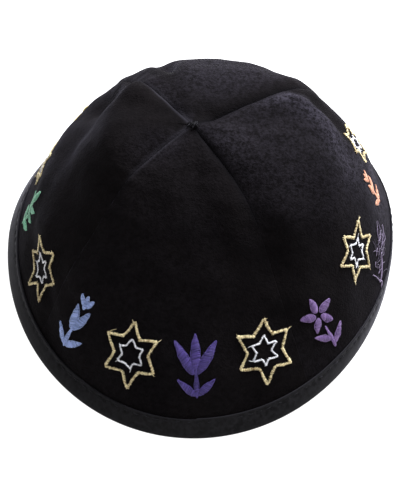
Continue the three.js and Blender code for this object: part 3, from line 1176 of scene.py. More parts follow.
@dataclass
class Crown:
    """The crown: four velvet gores, sewn to each other from the rim to the crown point."""

    form: CapForm
    columns: int = 96
    rows: int = 84
    edge_height: float = 1.3 * MM
    tip_radius: float = 0.5 * MM
    wall: float = 1.5 * MM
    turn_in: float = 3.0 * MM
    trimmed_below: float = 8.0 * MM
    trim_rise: float = 5.0 * MM
    trimmed_share: float = 0.1
    crowding: float = 0.86
    turned_share: float = 0.22
    cloth_run: float = 118 * MM
    edge_middle: float = 0.4 * MM
    # Where the painted highlight lies across the seams' rolled edges, and from how far up.
    edge_reach: float = 0.8 * MM
    edge_from: float = 0.72
    edge_rise: float = 0.14
    # The painted shade in the seam grooves: its reach, the highlight strength below which it is full, its
    # strength beside a highlight, and where up it starts.
    groove_shade_reach: float = 1.2 * MM
    highlight_cutoff: float = 0.1
    groove_shade_beside_highlight: float = 0.2
    groove_shade_early: float = 0.08
    groove_shade_rise: float = 0.15
    # From how far up the painted shade past the back seam starts.
    shade_from: float = 0.35
    shade_rise: float = 0.15

    def build_gore(self, number: int) -> bpy.types.Object:
        """Builds one gore as a sheet on the form, with its side edges turned in.

        Args:
            number: the gore's place in the seams' order.

        Returns:
            The gore's object.
        """
        seam = SEAMS[number]
        bm = bmesh.new()
        bmesh.ops.create_grid(bm, x_segments=self.columns, y_segments=self.rows, size=1.0)
        mesh = finish_mesh(bm, seam.gore.value)
        grid = vertex_places(mesh)
        azimuth, along, turned, width = self.places(number, grid[:, 0], grid[:, 1])
        point = self.form.skin(azimuth, along)
        out = self.form.outward(self.form.plain, azimuth, along)
        untrimmed = np.clip((point[:, 2] - self.trimmed_below) / self.trim_rise, self.trimmed_share, 1.0)
        depth = np.minimum(self.turn_in, self.turned_share * width) * untrimmed
        point = point - out * np.where(turned, depth, 0.0)[:, None]
        mesh.vertices.foreach_set("co", point.ravel())
        share = turn_between(self.form.seam_azimuth(seam, along), azimuth) / GORE_TURN - 0.5
        cloth = np.stack([share * width, along * self.cloth_run], axis=-1)
        lay_uv(mesh, "cloth", cloth[corner_vertices(mesh)])
        self.mark_seams(mesh, azimuth, along)
        # Painted sheen, highlights and shade for the velvet's colour.
        mark_points(mesh, "painted_light", self.painted_light(seam.gore, azimuth, along))
        mesh.update()
        piece = piece_from(mesh, f"{seam.gore.value}_velvet")
        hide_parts(seam.gore.value)
        return piece

    def mark_seams(self, mesh: bpy.types.Mesh, azimuth: Array, along: Array) -> None:
        """Marks the painted highlight on the seams' rolled edges and the painted shade in their grooves.

        Args:
            mesh: the gore's mesh.
            azimuth: each vertex's azimuth.
            along: each vertex's share of the way up.
        """
        offset, nearest = self.form.seam_offset(azimuth, along)
        aside = np.abs(offset)
        painted_edge_highlight = seam_values("painted_edge_highlight", nearest)
        # Painted highlight on the rolled edges.
        pale_edge_tone = painted_edge_highlight * bell(aside - self.edge_middle, self.edge_reach)
        mark_points(mesh, "painted_edge_highlight", pale_edge_tone * ramp_up(along, self.edge_from, self.edge_rise))
        # Painted shade in the grooves, weaker beside a painted highlight.
        groove_shade = np.where(painted_edge_highlight < self.highlight_cutoff, 1.0, self.groove_shade_beside_highlight)
        groove_shade = groove_shade * np.exp(-aside / self.groove_shade_reach)
        dark_from = seam_values("fades_at", nearest) - self.groove_shade_early
        mark_points(mesh, "painted_groove_shade", groove_shade * ramp_up(along, dark_from, self.groove_shade_rise))

    def places(self, number: int, across: Array, up: Array) -> tuple[Array, Array, Array, Array]:
        """Where each vertex of a gore's grid goes.

        Args:
            number: the gore's place in the seams' order.
            across: from -1 at its own seam to 1 at the next.
            up: from -1 at the rim to 1 at the crown point.

        Returns:
            The azimuth, the share of the way up, whether it is a turned edge, and the gore's width there.
        """
        seam = SEAMS[number]
        next_seam = SEAMS[(number + 1) % len(SEAMS)]
        last_column = 1.0 - 2.0 / self.columns
        turned = np.abs(across) > (1.0 + last_column) / 2
        sideways = np.clip(across / last_column, -1.0, 1.0) * self.crowding * math.pi / 2
        share = 0.5 + 0.5 * np.sin(sideways) / math.sin(self.crowding * math.pi / 2)
        wide = np.mod(next_seam.azimuth - seam.azimuth, 360.0)
        foot = seam.azimuth + share * wide
        low = self.form.along_at_height(foot, self.edge_height)
        high = self.form.along_at_tip(foot, self.tip_radius)
        along = low + (high - low) * (up + 1.0) / 2.0
        start = self.form.seam_azimuth(seam, along)
        end = self.form.seam_azimuth(next_seam, along)
        azimuth = start + share * np.mod(end - start, 360.0)
        offset = self.form.plain(azimuth, along)[:, :2] - self.form.crown_plan
        width = np.linalg.norm(offset, axis=-1) * math.radians(GORE_TURN)
        return azimuth, along, turned, width

    def painted_light(self, gore: Gore, azimuth: Array, along: Array) -> Array:
        """How much painted sheen a gore's velvet gets, in patches too, less the painted shade past a seam.

        Args:
            gore: which gore the places are on.
            azimuth: degrees from the front towards the right.
            along: shares of the way up.

        Returns:
            From 0, black, to 1, the palest.
        """
        # Painted sheen for the gore and its patches, less the painted shade past the back seam.
        light = PAINTED_GORE_LIGHT[gore] + strength_at(PAINTED_LIGHT_PATCHES, azimuth, along)
        offset, nearest = self.form.seam_offset(azimuth, along)
        shade_reach = np.maximum(seam_values("shade_reach", nearest), 0.01 * MM)
        shade = np.where(offset > 0, bell(offset, shade_reach), 0.0)
        return np.clip(light * (1 - shade * ramp_up(along, self.shade_from, self.shade_rise)), 0.0, 1.0)

    def dress(self, piece: bpy.types.Object, velvet: Material, backing: Material) -> None:
        """Gives a gore its wall and its two faces.

        Args:
            piece: the gore.
            velvet: its outer finish.
            backing: its inner finish.
        """
        piece.data.materials.append(velvet)
        piece.data.materials.append(backing)
        wall = piece.modifiers.new("wall", "SOLIDIFY")
        wall.thickness = self.wall
        wall.offset = -1.0
        wall.use_even_offset = False
        wall.material_offset = 1
        wall.material_offset_rim = 1

    def build(self, velvet: Material, backing: Material) -> list[bpy.types.Object]:
        """Builds and dresses all four gores.

        Args:
            velvet: the outer finish.
            backing: the inner finish.

        Returns:
            The gores' objects.
        """
        gores = []
        for number in range(len(SEAMS)):
            piece = self.build_gore(number)
            self.dress(piece, velvet, backing)
            gores.append(piece)
        return gores


class TapePoint(NamedTuple):
    """A point of the folded tape's section in millimetres: its reach, and its distance out of the cloth.

    A reach below the fold's height is a height above the ground, and past that a run up along the cloth.
    """

    reach: float
    distance: float


TAPE_SECTION = (
    TapePoint(0.0, -0.10), TapePoint(0.05, 0.32), TapePoint(0.30, 0.70), TapePoint(0.85, 0.90),
    TapePoint(2.30, 0.92), TapePoint(3.40, 0.92), TapePoint(4.50, 0.92), TapePoint(5.40, 0.92),
    TapePoint(6.00, 0.92), TapePoint(6.50, 0.92), TapePoint(7.00, 0.90), TapePoint(7.50, 0.86),
    TapePoint(7.86, 0.70), TapePoint(7.94, 0.46), TapePoint(7.80, 0.24), TapePoint(7.20, 0.12),
    TapePoint(5.00, 0.10), TapePoint(2.80, 0.10), TapePoint(0.98, 0.06), TapePoint(0.88, -0.75),
    TapePoint(0.98, -1.56), TapePoint(2.80, -1.62), TapePoint(5.00, -1.62), TapePoint(7.20, -1.64),
    TapePoint(7.80, -1.74), TapePoint(7.94, -1.96), TapePoint(7.86, -2.20), TapePoint(7.40, -2.32),
    TapePoint(6.40, -2.36), TapePoint(5.20, -2.36), TapePoint(3.80, -2.36), TapePoint(2.40, -2.34),
    TapePoint(0.85, -2.30), TapePoint(0.30, -2.10), TapePoint(0.05, -1.74), TapePoint(0.0, -1.30),
)


FOLD_HEIGHT = 1 * MM
TAPE_DEPTH = 8 * MM


class Wave(NamedTuple):
    """A gentle wave round the rim: its height and its stride to a radian in millimetres, and its start."""

    height: float
    stride: float
    start: float = 0.0


TAPE_SWAY = (Wave(0.20, 31.0), Wave(0.13, 11.3, 1.3))
TAPE_SWELL = (Wave(0.10, 17.0, 0.4), Wave(0.07, 6.1))


def waves_at(waves: tuple[Wave, ...], run: Array) -> Array:
    """The height in metres of waves that add up, at each distance walked round the rim."""
    return sum(wave.height * np.sin(run / (wave.stride * MM) + wave.start) for wave in waves) * MM


@dataclass
class RimBinding:
    """The tape folded over the gores' lower edge, with the row of stitches that holds it outside and in."""

    form: CapForm
    steps_round: int = 504
    run_steps: int = 1440
    run_along: float = 0.05
    stitch_pitch: float = 4.3 * MM
    stitch_length: float = 2.5 * MM
    stitch_reach: float = 6.3 * MM
    stitch_radius: float = 0.17 * MM
    stitch_stray: float = 0.12
    pit_depth: float = 0.40 * MM
    pit_length: float = 0.75 * MM
    pit_width: float = 0.95 * MM
    outer_face: float = 0.3 * MM
    inner_face: float = -1.9 * MM
    outer_stitches: float = 0.92 * MM
    inner_stitches: float = -2.38 * MM
    lip_reach: float = 7.95 * MM
    lip_width: float = 0.45 * MM
    fold_width: float = 0.9 * MM
    fold_share: float = 0.6

    def rim_run(self) -> tuple[Array, Array]:
        """The distance walked round the rim's edge.

        Returns:
            Azimuths all the way round, and the metres walked at each.
        """
        azimuth = np.linspace(0.0, 360.0, self.run_steps + 1)
        edge = self.form.cloth(azimuth, np.full(azimuth.shape, self.run_along))
        steps = np.linalg.norm(np.diff(edge, axis=0), axis=-1)
        return azimuth, np.concatenate([[0.0], np.cumsum(steps)])

    def stitch_places(self) -> Array:
        """Where the stitches lie, with small uneven steps between them.

        Returns:
            The azimuths of their middles.
        """
        azimuth, run = self.rim_run()
        count = int(run[-1] / self.stitch_pitch)
        draw = np.random.default_rng(21)
        at = (np.arange(count) + draw.uniform(-self.stitch_stray, self.stitch_stray, count)) * run[-1] / count
        return np.interp(np.mod(at, run[-1]), run, azimuth)

    def build_tape(self) -> bpy.types.Object:
        """Sweeps the folded section round the rim.

        Returns:
            The tape's object.
        """
        count = len(TAPE_SECTION)
        bm = bmesh.new()
        bmesh.ops.create_circle(bm, segments=count, radius=0.3)
        bmesh.ops.rotate(bm, cent=(0, 0, 0), matrix=Matrix.Rotation(math.pi / 2, 3, "X"), verts=bm.verts[:])
        bmesh.ops.translate(bm, vec=(1.0, 0.0, 0.0), verts=bm.verts[:])
        bmesh.ops.spin(
            bm,
            geom=bm.verts[:] + bm.edges[:],
            cent=(0, 0, 0),
            axis=(0, 0, 1),
            angle=2 * math.pi,
            steps=self.steps_round,
            use_merge=True,
        )
        bmesh.ops.recalc_face_normals(bm, faces=bm.faces[:])
        mesh = finish_mesh(bm, "rim_tape")
        at = vertex_places(mesh)
        turn = np.degrees(np.arctan2(at[:, 1], at[:, 0]))
        azimuth = np.mod(turn + 90.0, 360.0)
        out = np.hypot(at[:, 0], at[:, 1]) - 1.0
        spot = np.mod(np.rint(np.arctan2(at[:, 2], out) / (2 * math.pi) * count).astype(int), count)
        points, run, across = self.place_tape(azimuth, spot)
        mesh.vertices.foreach_set("co", points.ravel())
        self.mark_tape(mesh, run, across, spot)
        mesh.update()
        piece = piece_from(mesh, "rim_tape")
        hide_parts("rim_binding")
        return piece

    def place_tape(self, azimuth: Array, spot: Array) -> tuple[Array, Array, Array]:
        """Carries the swept ring onto the rim.

        Args:
            azimuth: each vertex's azimuth.
            spot: each vertex's place in the section.

        Returns:
            The points, the metres walked round the rim, and the metres walked round the section.
        """
        section = np.array(TAPE_SECTION) * MM
        reach = section[spot, 0]
        distance = section[spot, 1]
        azimuths, runs = self.rim_run()
        run = np.interp(azimuth, azimuths, runs)
        upper = ramp_up(reach, 0.0, TAPE_DEPTH)
        reach = reach + np.where(reach > FOLD_HEIGHT, waves_at(TAPE_SWAY, run) * upper**2, 0.0)
        stitches = np.interp(self.stitch_places(), azimuths, runs)
        off = run[:, None] - stitches[None, :]
        off = np.mod(off + runs[-1] / 2, runs[-1]) - runs[-1] / 2
        ends = bell(np.abs(off) - self.stitch_length / 2, self.pit_length).max(axis=1)
        pit = self.pit_depth * ends * bell(reach - self.stitch_reach, self.pit_width)
        swell = waves_at(TAPE_SWELL, run) * upper - pit
        side = np.where(distance > self.outer_face, 1.0, np.where(distance < self.inner_face, -1.0, 0.0))
        distance = distance + np.where(reach > FOLD_HEIGHT, side * swell, 0.0)
        low = self.form.level_with(azimuth, np.minimum(reach, FOLD_HEIGHT), distance)
        along = self.form.along_at_reach(azimuth, np.maximum(reach, FOLD_HEIGHT))
        out = self.form.outward(self.form.cloth, azimuth, along)
        high = self.form.cloth(azimuth, along) + out * distance[:, None]
        points = np.where((reach < FOLD_HEIGHT)[:, None], low, high)
        walked = np.concatenate([[0.0], np.cumsum(np.linalg.norm(np.diff(section, axis=0), axis=-1))])
        return points, run, walked[spot]

    def mark_tape(self, mesh: bpy.types.Mesh, run: Array, across: Array, spot: Array) -> None:
        """Lays the tape's UV map and marks its paler, bluer edges.

        Args:
            mesh: the tape's mesh.
            run: metres round the rim, for each vertex.
            across: metres round the section, for each vertex.
            spot: each vertex's place in the section.
        """
        corners = corner_vertices(mesh)
        places = np.stack([run[corners], across[corners]], axis=-1)
        faces = places.reshape(-1, 4, 2)
        for axis, whole in ((0, run.max()), (1, across.max())):
            low = faces[:, :, axis].min(axis=1, keepdims=True)
            wraps = faces[:, :, axis].max(axis=1, keepdims=True) - low > whole / 2
            faces[:, :, axis] += np.where(wraps & (faces[:, :, axis] < whole / 2), whole, 0.0)
        lay_uv(mesh, "strip", faces.reshape(-1, 2))
        reach = np.array(TAPE_SECTION)[:, 0] * MM
        lip = bell(reach - self.lip_reach, self.lip_width)
        fold = bell(reach, self.fold_width) * self.fold_share
        mark_points(mesh, "edge_nearness", np.maximum(lip, fold)[spot])

    def build_stitches(self, thread: Material) -> bpy.types.Object:
        """Sews the row of stitches, outside and in.

        Args:
            thread: the stitches' thread.

        Returns:
            The stitches' object.
        """
        work = ThreadWork()
        draw = np.random.default_rng(22)
        azimuths, runs = self.rim_run()
        middles = np.interp(self.stitch_places(), azimuths, runs)
        share = np.array([-0.5, -0.36, 0.0, 0.36, 0.5])
        length = self.stitch_length * draw.uniform(0.85, 1.15, len(middles))
        run = np.mod(middles[:, None] + length[:, None] * share[None, :], runs[-1])
        azimuth = np.interp(run, runs, azimuths)
        tilt = draw.uniform(-0.35, 0.35, len(middles)) * MM
        stray = draw.uniform(-0.15, 0.15, (len(middles), 1)) * MM
        reach = self.stitch_reach + tilt[:, None] * share[None, :] * 2 + stray
        along = self.form.along_at_reach(azimuth, reach)
        out = self.form.outward(self.form.cloth, azimuth, along)
        cloth = self.form.cloth(azimuth, along)
        bow = np.array([0.40, 0.68, 0.86, 0.68, 0.40]) * MM
        shade = draw.uniform(0.1, 1.0, len(middles))
        work.lay(cloth + out * bow[None, :, None], out, self.stitch_radius, shade)
        inner = self.inner_stitches - (bow - self.outer_stitches)
        work.lay(cloth + out * inner[None, :, None], -out, self.stitch_radius, shade)
        return work.build("binding_stitches", [thread])

    def build(self, tape: Material, thread: Material) -> list[bpy.types.Object]:
        """Builds and dresses the binding.

        Args:
            tape: the tape's finish.
            thread: the stitches' thread.

        Returns:
            The tape and its stitches.
        """
        strip = self.build_tape()
        strip.data.materials.append(tape)
        return [strip, self.build_stitches(thread)]


class StarLine(NamedTuple):
    """How a star's line is sewn: its thread's number, its width, stitches and loose ends in metres."""

    finish: int
    width: float
    pitch: float
    radius: float
    ends: int
    end_length: float
    end_radius: float


GOLD_LINE = StarLine(0, 1.12 * MM, 0.33 * MM, 0.20 * MM, 8, 1.7 * MM, 0.12 * MM)
SILVER_LINE = StarLine(1, 0.68 * MM, 0.34 * MM, 0.19 * MM, 6, 1.3 * MM, 0.11 * MM)


@dataclass
class StarEmbroidery:
    """A six-pointed star in gold thread with a small silver one inside it. Sizes are in metres."""

    plane: MotifPlane
    number: int
    gold_reach: float
    silver_share: float = 0.46
    notch: float = 0.577
    slimness: float = 0.91
    unevenness: float = 0.55 * MM
    corner_reach: float = 0.7 * MM
    corner_swell: float = 1.15

    def outline(self, reach: float, draw: Chance) -> Array:
        """The star's twelve corners, set a little out of true.

        Args:
            reach: how far the points stand from the middle.
            draw: the source of chance.

        Returns:
            The corners' places, with the first one repeated at the end.
        """
        turns = np.radians(90.0 - 30.0 * np.arange(12))
        reaches = np.where(np.arange(12) % 2 == 0, reach, reach * self.notch)
        corners = np.stack([np.cos(turns) * self.slimness, np.sin(turns)], axis=-1) * reaches[:, None]
        corners += draw.uniform(-self.unevenness, self.unevenness, corners.shape)
        return np.concatenate([corners, corners[:1]])

    def stitch_line(self, work: ThreadWork, corners: Array, line: StarLine, draw: Chance) -> None:
        """Covers a line with close slanting stitches.

        Args:
            work: where the strands go.
            corners: the line's corners.
            line: how it is sewn.
            draw: the source of chance.
        """
        sides = np.diff(corners, axis=0)
        lengths = np.linalg.norm(sides, axis=-1)
        run = np.concatenate([[0.0], np.cumsum(lengths)])
        count = int(run[-1] / line.pitch)
        at = (np.arange(count) + draw.uniform(-0.3, 0.3, count)) * run[-1] / count
        at = np.clip(at, 0.0, run[-1] * 0.9999)
        side = np.clip(np.searchsorted(run, at, side="right") - 1, 0, len(sides) - 1)
        middle = np.stack([np.interp(at, run, corners[:, axis]) for axis in (0, 1)], axis=-1)
        wander = np.sin(at / (1.9 * MM) + draw.uniform(0, 6)) * 0.13 * MM
        wander = wander + np.sin(at / (0.83 * MM)) * 0.07 * MM
        ahead = sides[side] / lengths[side][:, None]
        near_corner = np.minimum(at - run[side], run[side + 1] - at)
        square = np.stack([-ahead[:, 1], ahead[:, 0]], axis=-1)
        slant = draw.normal(0.0, 0.20, count) + 0.35 * np.where(np.arange(count) % 2 == 0, 1.0, -1.0)
        across = unit(square + ahead * slant[:, None])
        fuller = np.where(near_corner < self.corner_reach, self.corner_swell, 1.0)
        half = line.width / 2 * draw.uniform(0.66, 1.32, count) * fuller
        middle = middle + square * wander[:, None]
        share = np.array([-1.0, -0.72, 0.0, 0.72, 1.0])
        spots = middle[:, None, :] + across[:, None, :] * (half[:, None] * share[None, :])[..., None]
        lift = draw.uniform(0.0, 0.12, count) * MM
        arch = np.array([0.02, 0.30, 0.50, 0.30, 0.02]) * MM
        height = arch[None, :] * (half / (0.8 * MM))[:, None] ** 0.5 + lift[:, None]
        points, outs = self.plane.wrap(spots, height)
        drift = 0.16 * np.sin(at / (2.7 * MM) + draw.uniform(0, 6))
        shade = np.clip(draw.normal(0.62, 0.30, count) + drift, 0.0, 1.0)
        work.lay(points, outs, line.radius * draw.uniform(0.80, 1.20, count), shade, line.finish)

    def loose_ends(self, work: ThreadWork, corners: Array, line: StarLine, draw: Chance) -> None:
        """Leaves short thread ends sticking out at some of the corners.

        Args:
            work: where the strands go.
            corners: the star's corners.
            line: how the ends are left.
            draw: the source of chance.
        """
        count = line.ends
        tips = corners[:12:2]
        chosen = tips[draw.integers(0, len(tips), count)]
        away = unit(unit(chosen) + draw.normal(0.0, 0.45, (count, 2)))
        bend = np.stack([-away[:, 1], away[:, 0]], axis=-1) * draw.normal(0.0, 0.5, count)[:, None]
        share = np.linspace(0.0, 1.0, 5)
        long = line.end_length * draw.uniform(0.5, 1.5, count)
        start = chosen * draw.uniform(0.86, 1.0, (count, 1))
        spots = (
            start[:, None, :]
            + away[:, None, :] * (long[:, None] * share)[..., None]
            + bend[:, None, :] * (long[:, None] * share**2)[..., None]
        )
        height = (0.25 + draw.uniform(0.1, 0.9, count)[:, None] * share[None, :]) * MM
        points, outs = self.plane.wrap(spots, height)
        work.lay(points, outs, line.end_radius, np.clip(draw.normal(0.7, 0.2, count), 0, 1), line.finish)

    def build(self, box: ThreadBox) -> bpy.types.Object:
        """Builds the star.

        Args:
            box: the reels of thread.

        Returns:
            The star's object.
        """
        draw = np.random.default_rng(100 + self.number)
        work = ThreadWork()
        gold = self.outline(self.gold_reach, draw)
        silver = self.outline(self.gold_reach * self.silver_share, draw)
        for line, corners in ((GOLD_LINE, gold), (SILVER_LINE, silver)):
            self.stitch_line(work, corners, line, draw)
            self.loose_ends(work, corners, line, draw)
        return work.build(f"star_{self.number}", [box.reel(ThreadTone.GOLD), box.reel(ThreadTone.SILVER)])


class Petal(NamedTuple):
    """An almond shape in millimetres: its start, its lean from upright in degrees, its length and width."""

    right: float
    up: float
    lean: float
    length: float
    width: float


class Spray(Enum):
    """The plain sprays of leaves and petals that stand between the stars."""

    TULIP = (
        Petal(0.0, -13.4, 0.0, 12.0, 1.6),
        Petal(-0.4, -12.4, -47.0, 10.0, 2.9),
        Petal(0.4, -12.4, 47.0, 10.0, 2.9),
        Petal(-0.8, -3.2, -30.0, 15.4, 3.9),
        Petal(0.8, -3.2, 30.0, 15.4, 3.9),
        Petal(0.0, -1.6, 0.0, 15.0, 3.8),
    )
    SPRIG = (
        Petal(0.0, -13.4, 0.0, 22.0, 1.5),
        Petal(0.0, -11.4, -56.0, 9.0, 2.9),
        Petal(0.0, -11.4, 56.0, 9.0, 2.9),
        Petal(0.0, -5.6, -52.0, 9.4, 3.0),
        Petal(0.0, -5.6, 52.0, 9.4, 3.0),
        Petal(0.0, 0.2, -46.0, 9.0, 2.9),
        Petal(0.0, 0.2, 46.0, 9.0, 2.9),
        Petal(0.0, 5.0, 0.0, 9.0, 3.2),
    )
    BLOSSOM = (
        Petal(0.0, -13.4, 0.0, 12.0, 1.6),
        Petal(0.2, -11.8, 50.0, 10.0, 2.9),
        Petal(-0.2, -8.4, -50.0, 9.0, 2.9),
        Petal(0.0, 6.3, 0.0, 7.4, 3.4),
        Petal(1.3, 5.3, 72.0, 7.4, 3.4),
        Petal(0.8, 3.9, 144.0, 7.0, 3.2),
        Petal(-0.8, 3.9, 216.0, 7.0, 3.2),
        Petal(-1.3, 5.3, 288.0, 7.4, 3.4),
    )
    BUD = (
        Petal(0.0, -13.4, 0.0, 11.0, 1.6),
        Petal(-0.3, -12.2, -48.0, 9.6, 2.8),
        Petal(0.3, -12.2, 48.0, 9.6, 2.8),
        Petal(-0.3, -4.0, -16.0, 11.6, 3.6),
        Petal(0.3, -4.0, 16.0, 11.6, 3.6),
        Petal(-0.6, 8.0, -28.0, 5.6, 2.0),
        Petal(0.6, 8.0, 28.0, 5.6, 2.0),
        Petal(0.0, 6.6, 0.0, 7.0, 2.2),
    )


@dataclass
class SprayEmbroidery:
    """A spray of petals in satin stitch, each petal edged with a finer line. Sizes are in metres."""

    plane: MotifPlane
    number: int
    spray: Spray
    tone: ThreadTone
    size: float = 1.0
    pitch: float = 0.34 * MM
    radius: float = 0.19 * MM
    slant: float = 0.28
    edge_pitch: float = 2.1 * MM
    edge_radius: float = 0.13 * MM

    def fill(self, work: ThreadWork, petal: Petal, draw: Chance) -> None:
        """Covers a petal with close stitches from side to side.

        Args:
            work: where the strands go.
            petal: the petal.
            draw: the source of chance.
        """
        length = petal.length * self.size * MM
        count = max(int(length / self.pitch), 4)
        at = (np.arange(count) + 0.5 + draw.uniform(-0.2, 0.2, count)) / count
        half = petal.width * self.size * MM / 2 * self.swell(at) * draw.uniform(0.84, 1.10, count)
        half = half + np.where(draw.uniform(size=count) < 0.12, 0.30 * MM, 0.0)
        share = np.array([-1.0, -0.7, 0.0, 0.7, 1.0])
        slant = self.slant + draw.normal(0.0, 0.03, count)
        across = half[:, None] * share[None, :]
        along = at[:, None] * length + across * slant[:, None]
        rise = (0.10 + 0.30 * (half / (2.0 * MM)))[:, None] * np.array([0.0, 0.72, 1.0, 0.72, 0.0])[None, :]
        height = (0.12 + rise) * MM + draw.uniform(0.0, 0.05, (count, 1)) * MM
        points, outs = self.wrap(petal, across, along, height)
        shade = np.clip(0.5 + 0.18 * np.sin(at * 9.0 + petal.lean) + draw.normal(0.0, 0.26, count), 0.0, 1.0)
        work.lay(points, outs, self.radius * draw.uniform(0.9, 1.1, count), shade)

    def edge(self, work: ThreadWork, petal: Petal, draw: Chance) -> None:
        """Runs a finer line of stitches round a petal's edge.

        Args:
            work: where the strands go.
            petal: the petal.
            draw: the source of chance.
        """
        length = petal.length * self.size * MM
        for side in (-1.0, 1.0):
            count = max(int(length / self.edge_pitch), 2)
            start = np.arange(count) / count
            share = start[:, None] + np.linspace(-0.04, 1.04, 5)[None, :] / count
            share = np.clip(share, 0.0, 1.0)
            half = (petal.width * self.size / 2 * self.swell(share) + 0.06) * MM
            across = side * half + draw.uniform(-0.16, 0.16, (count, 1)) * MM
            along = share * length + across * self.slant
            height = np.array([0.10, 0.26, 0.32, 0.26, 0.10])[None, :] * MM + 0 * across
            points, outs = self.wrap(petal, across, along, height)
            work.lay(points, outs, self.edge_radius, np.clip(draw.normal(0.85, 0.15, count), 0, 1))

    def swell(self, share: Array) -> Array:
        """How much of its full width a petal has at each share of its length."""
        return np.maximum(np.sin(math.pi * np.clip(share, 0, 1) ** 0.80), 0.0) ** 0.88 * 0.97 + 0.03

    def wrap(self, petal: Petal, across: Array, along: Array, height: Array) -> tuple[Array, Array]:
        """Turns a petal's own places to its lean and carries them onto the cloth.

        Args:
            petal: the petal.
            across: metres to the right of its middle line.
            along: metres up its middle line.
            height: metres out of the cloth.

        Returns:
            The points, and the direction out of the cloth at each.
        """
        lean = math.radians(petal.lean)
        right = petal.right * self.size * MM + across * math.cos(lean) + along * math.sin(lean)
        up = petal.up * self.size * MM - across * math.sin(lean) + along * math.cos(lean)
        return self.plane.wrap(np.stack([right, up], axis=-1), height)

    def build(self, box: ThreadBox) -> bpy.types.Object:
        """Builds the spray.

        Args:
            box: the reels of thread.

        Returns:
            The spray's object.
        """
        draw = np.random.default_rng(300 + self.number)
        work = ThreadWork()
        for petal in self.spray.value:
            self.fill(work, petal, draw)
            self.edge(work, petal, draw)
        return work.build(f"spray_{self.number}", [box.reel(self.tone)])


@dataclass
class CrownKnot:
    """The few thick stitches that close the crown point, crossed on each other."""

    form: CapForm
    count: int = 20
    reach: float = 2.9 * MM
    radius: float = 0.24 * MM

    def build(self, box: ThreadBox) -> bpy.types.Object:
        """Builds the knot.

        Args:
            box: the reels of thread.

        Returns:
            The knot's object.
        """
        draw = np.random.default_rng(55)
        work = ThreadWork()
        turn = draw.uniform(0, math.pi, self.count)
        ahead = np.stack([np.cos(turn), np.sin(turn)], axis=-1)
        middle = draw.normal(0.0, 0.9 * MM, (self.count, 2))
        share = np.linspace(-1.0, 1.0, 5)
        half = self.reach * draw.uniform(0.35, 1.0, self.count) / 1.4
        plan = middle[:, None, :] + ahead[:, None, :] * (half[:, None] * share)[..., None]
        plan[..., 1] *= 0.8
        azimuth = np.degrees(np.arctan2(plan[..., 0], -plan[..., 1]))
        radius = np.maximum(np.hypot(plan[..., 0], plan[..., 1]), 0.2 * MM)
        ground = self.form.skin(azimuth, self.form.along_at_tip(azimuth, radius))
        out = np.broadcast_to(np.array([0.0, 0.0, 1.0]), ground.shape)
        arch = np.array([-0.25, 0.45, 0.85, 0.45, -0.25]) * MM
        height = arch[None, :] + draw.uniform(0.0, 0.45, (self.count, 1)) * MM
        points = ground + out * height[..., None]
        points[:, 1:4, 2] = np.maximum(points[:, 1:4, 2], points[:, 2:3, 2] - 0.8 * MM)
        radii = self.radius * draw.uniform(0.8, 1.2, self.count)
        work.lay(points, out, radii, draw.uniform(0.2, 1.0, self.count))
        return work.build("crown_knot", [box.reel(ThreadTone.BLACK)])


@dataclass
class LooseThreads:
    """The tangle of fine lilac thread ends above the binding, right of the right-hand star."""

    plane: MotifPlane
    count: int = 46
    rings: int = 9
    radius: float = 0.10 * MM
    fork_radius: float = 0.16 * MM

    def build(self, box: ThreadBox) -> bpy.types.Object:
        """Builds the tangle.

        Args:
            box: the reels of thread.

        Returns:
            The tangle's object.
        """
        draw = np.random.default_rng(77)
        work = ThreadWork(rings=self.rings)
        share = np.linspace(0.0, 1.0, self.rings)
        right = draw.normal(0.0, 1.7, self.count)
        start = np.stack([right, draw.uniform(-8.0, 9.0, self.count)], axis=-1) * MM
        heading = draw.normal(math.radians(82), 0.60, self.count)
        curl = draw.normal(0.0, 2.0, self.count)
        length = draw.uniform(3.0, 8.5, self.count) * MM
        angle = heading[:, None] + curl[:, None] * (share - 0.5)
        step = np.stack([np.cos(angle), np.sin(angle)], axis=-1) * (length / (self.rings - 1))[:, None, None]
        spots = start[:, None, :] + np.cumsum(step, axis=1)
        arch = np.sin(math.pi * share)[None, :] * draw.uniform(0.2, 1.0, (self.count, 1))
        height = (0.20 + 0.55 * arch) * MM
        points, outs = self.plane.wrap(spots, height)
        radii = self.radius * draw.uniform(0.7, 1.3, self.count)
        work.lay(points, outs, radii, draw.uniform(0.0, 0.7, self.count))
        self.lay_fork(work)
        return work.build("loose_threads", [box.reel(ThreadTone.LILAC)])

    def lay_fork(self, work: ThreadWork) -> None:
        """Lays the two plainer strands that meet in a small knot under the tangle.

        Args:
            work: where the strands go.
        """
        bends = np.array([
            [(1.4, 2.0), (2.2, -4.0), (2.0, -10.5)],
            [(1.8, 1.0), (2.8, -5.0), (2.2, -10.8)],
            [(-4.6, -8.2), (-1.6, -9.0), (1.8, -10.8)],
            [(-4.2, -7.8), (-1.4, -9.4), (2.0, -11.0)],
            [(1.2, -9.8), (2.8, -10.8), (3.0, -13.4)],
            [(1.4, -11.2), (2.6, -10.2), (2.6, -12.8)],
        ]) * MM
        share = np.linspace(0.0, 1.0, self.rings)[None, :, None]
        spots = (
            bends[:, 0:1] * (1 - share) ** 2
            + 2 * (2 * bends[:, 1:2] - (bends[:, 0:1] + bends[:, 2:3]) / 2) * share * (1 - share)
            + bends[:, 2:3] * share**2
        )
        height = (0.25 + 0.5 * np.sin(math.pi * share[..., 0])) * MM + 0 * spots[..., 0]
        points, outs = self.plane.wrap(spots, height)
        work.lay(points, outs, self.fork_radius, np.array([0.9, 0.5, 0.8, 0.5, 1.0, 1.0]))


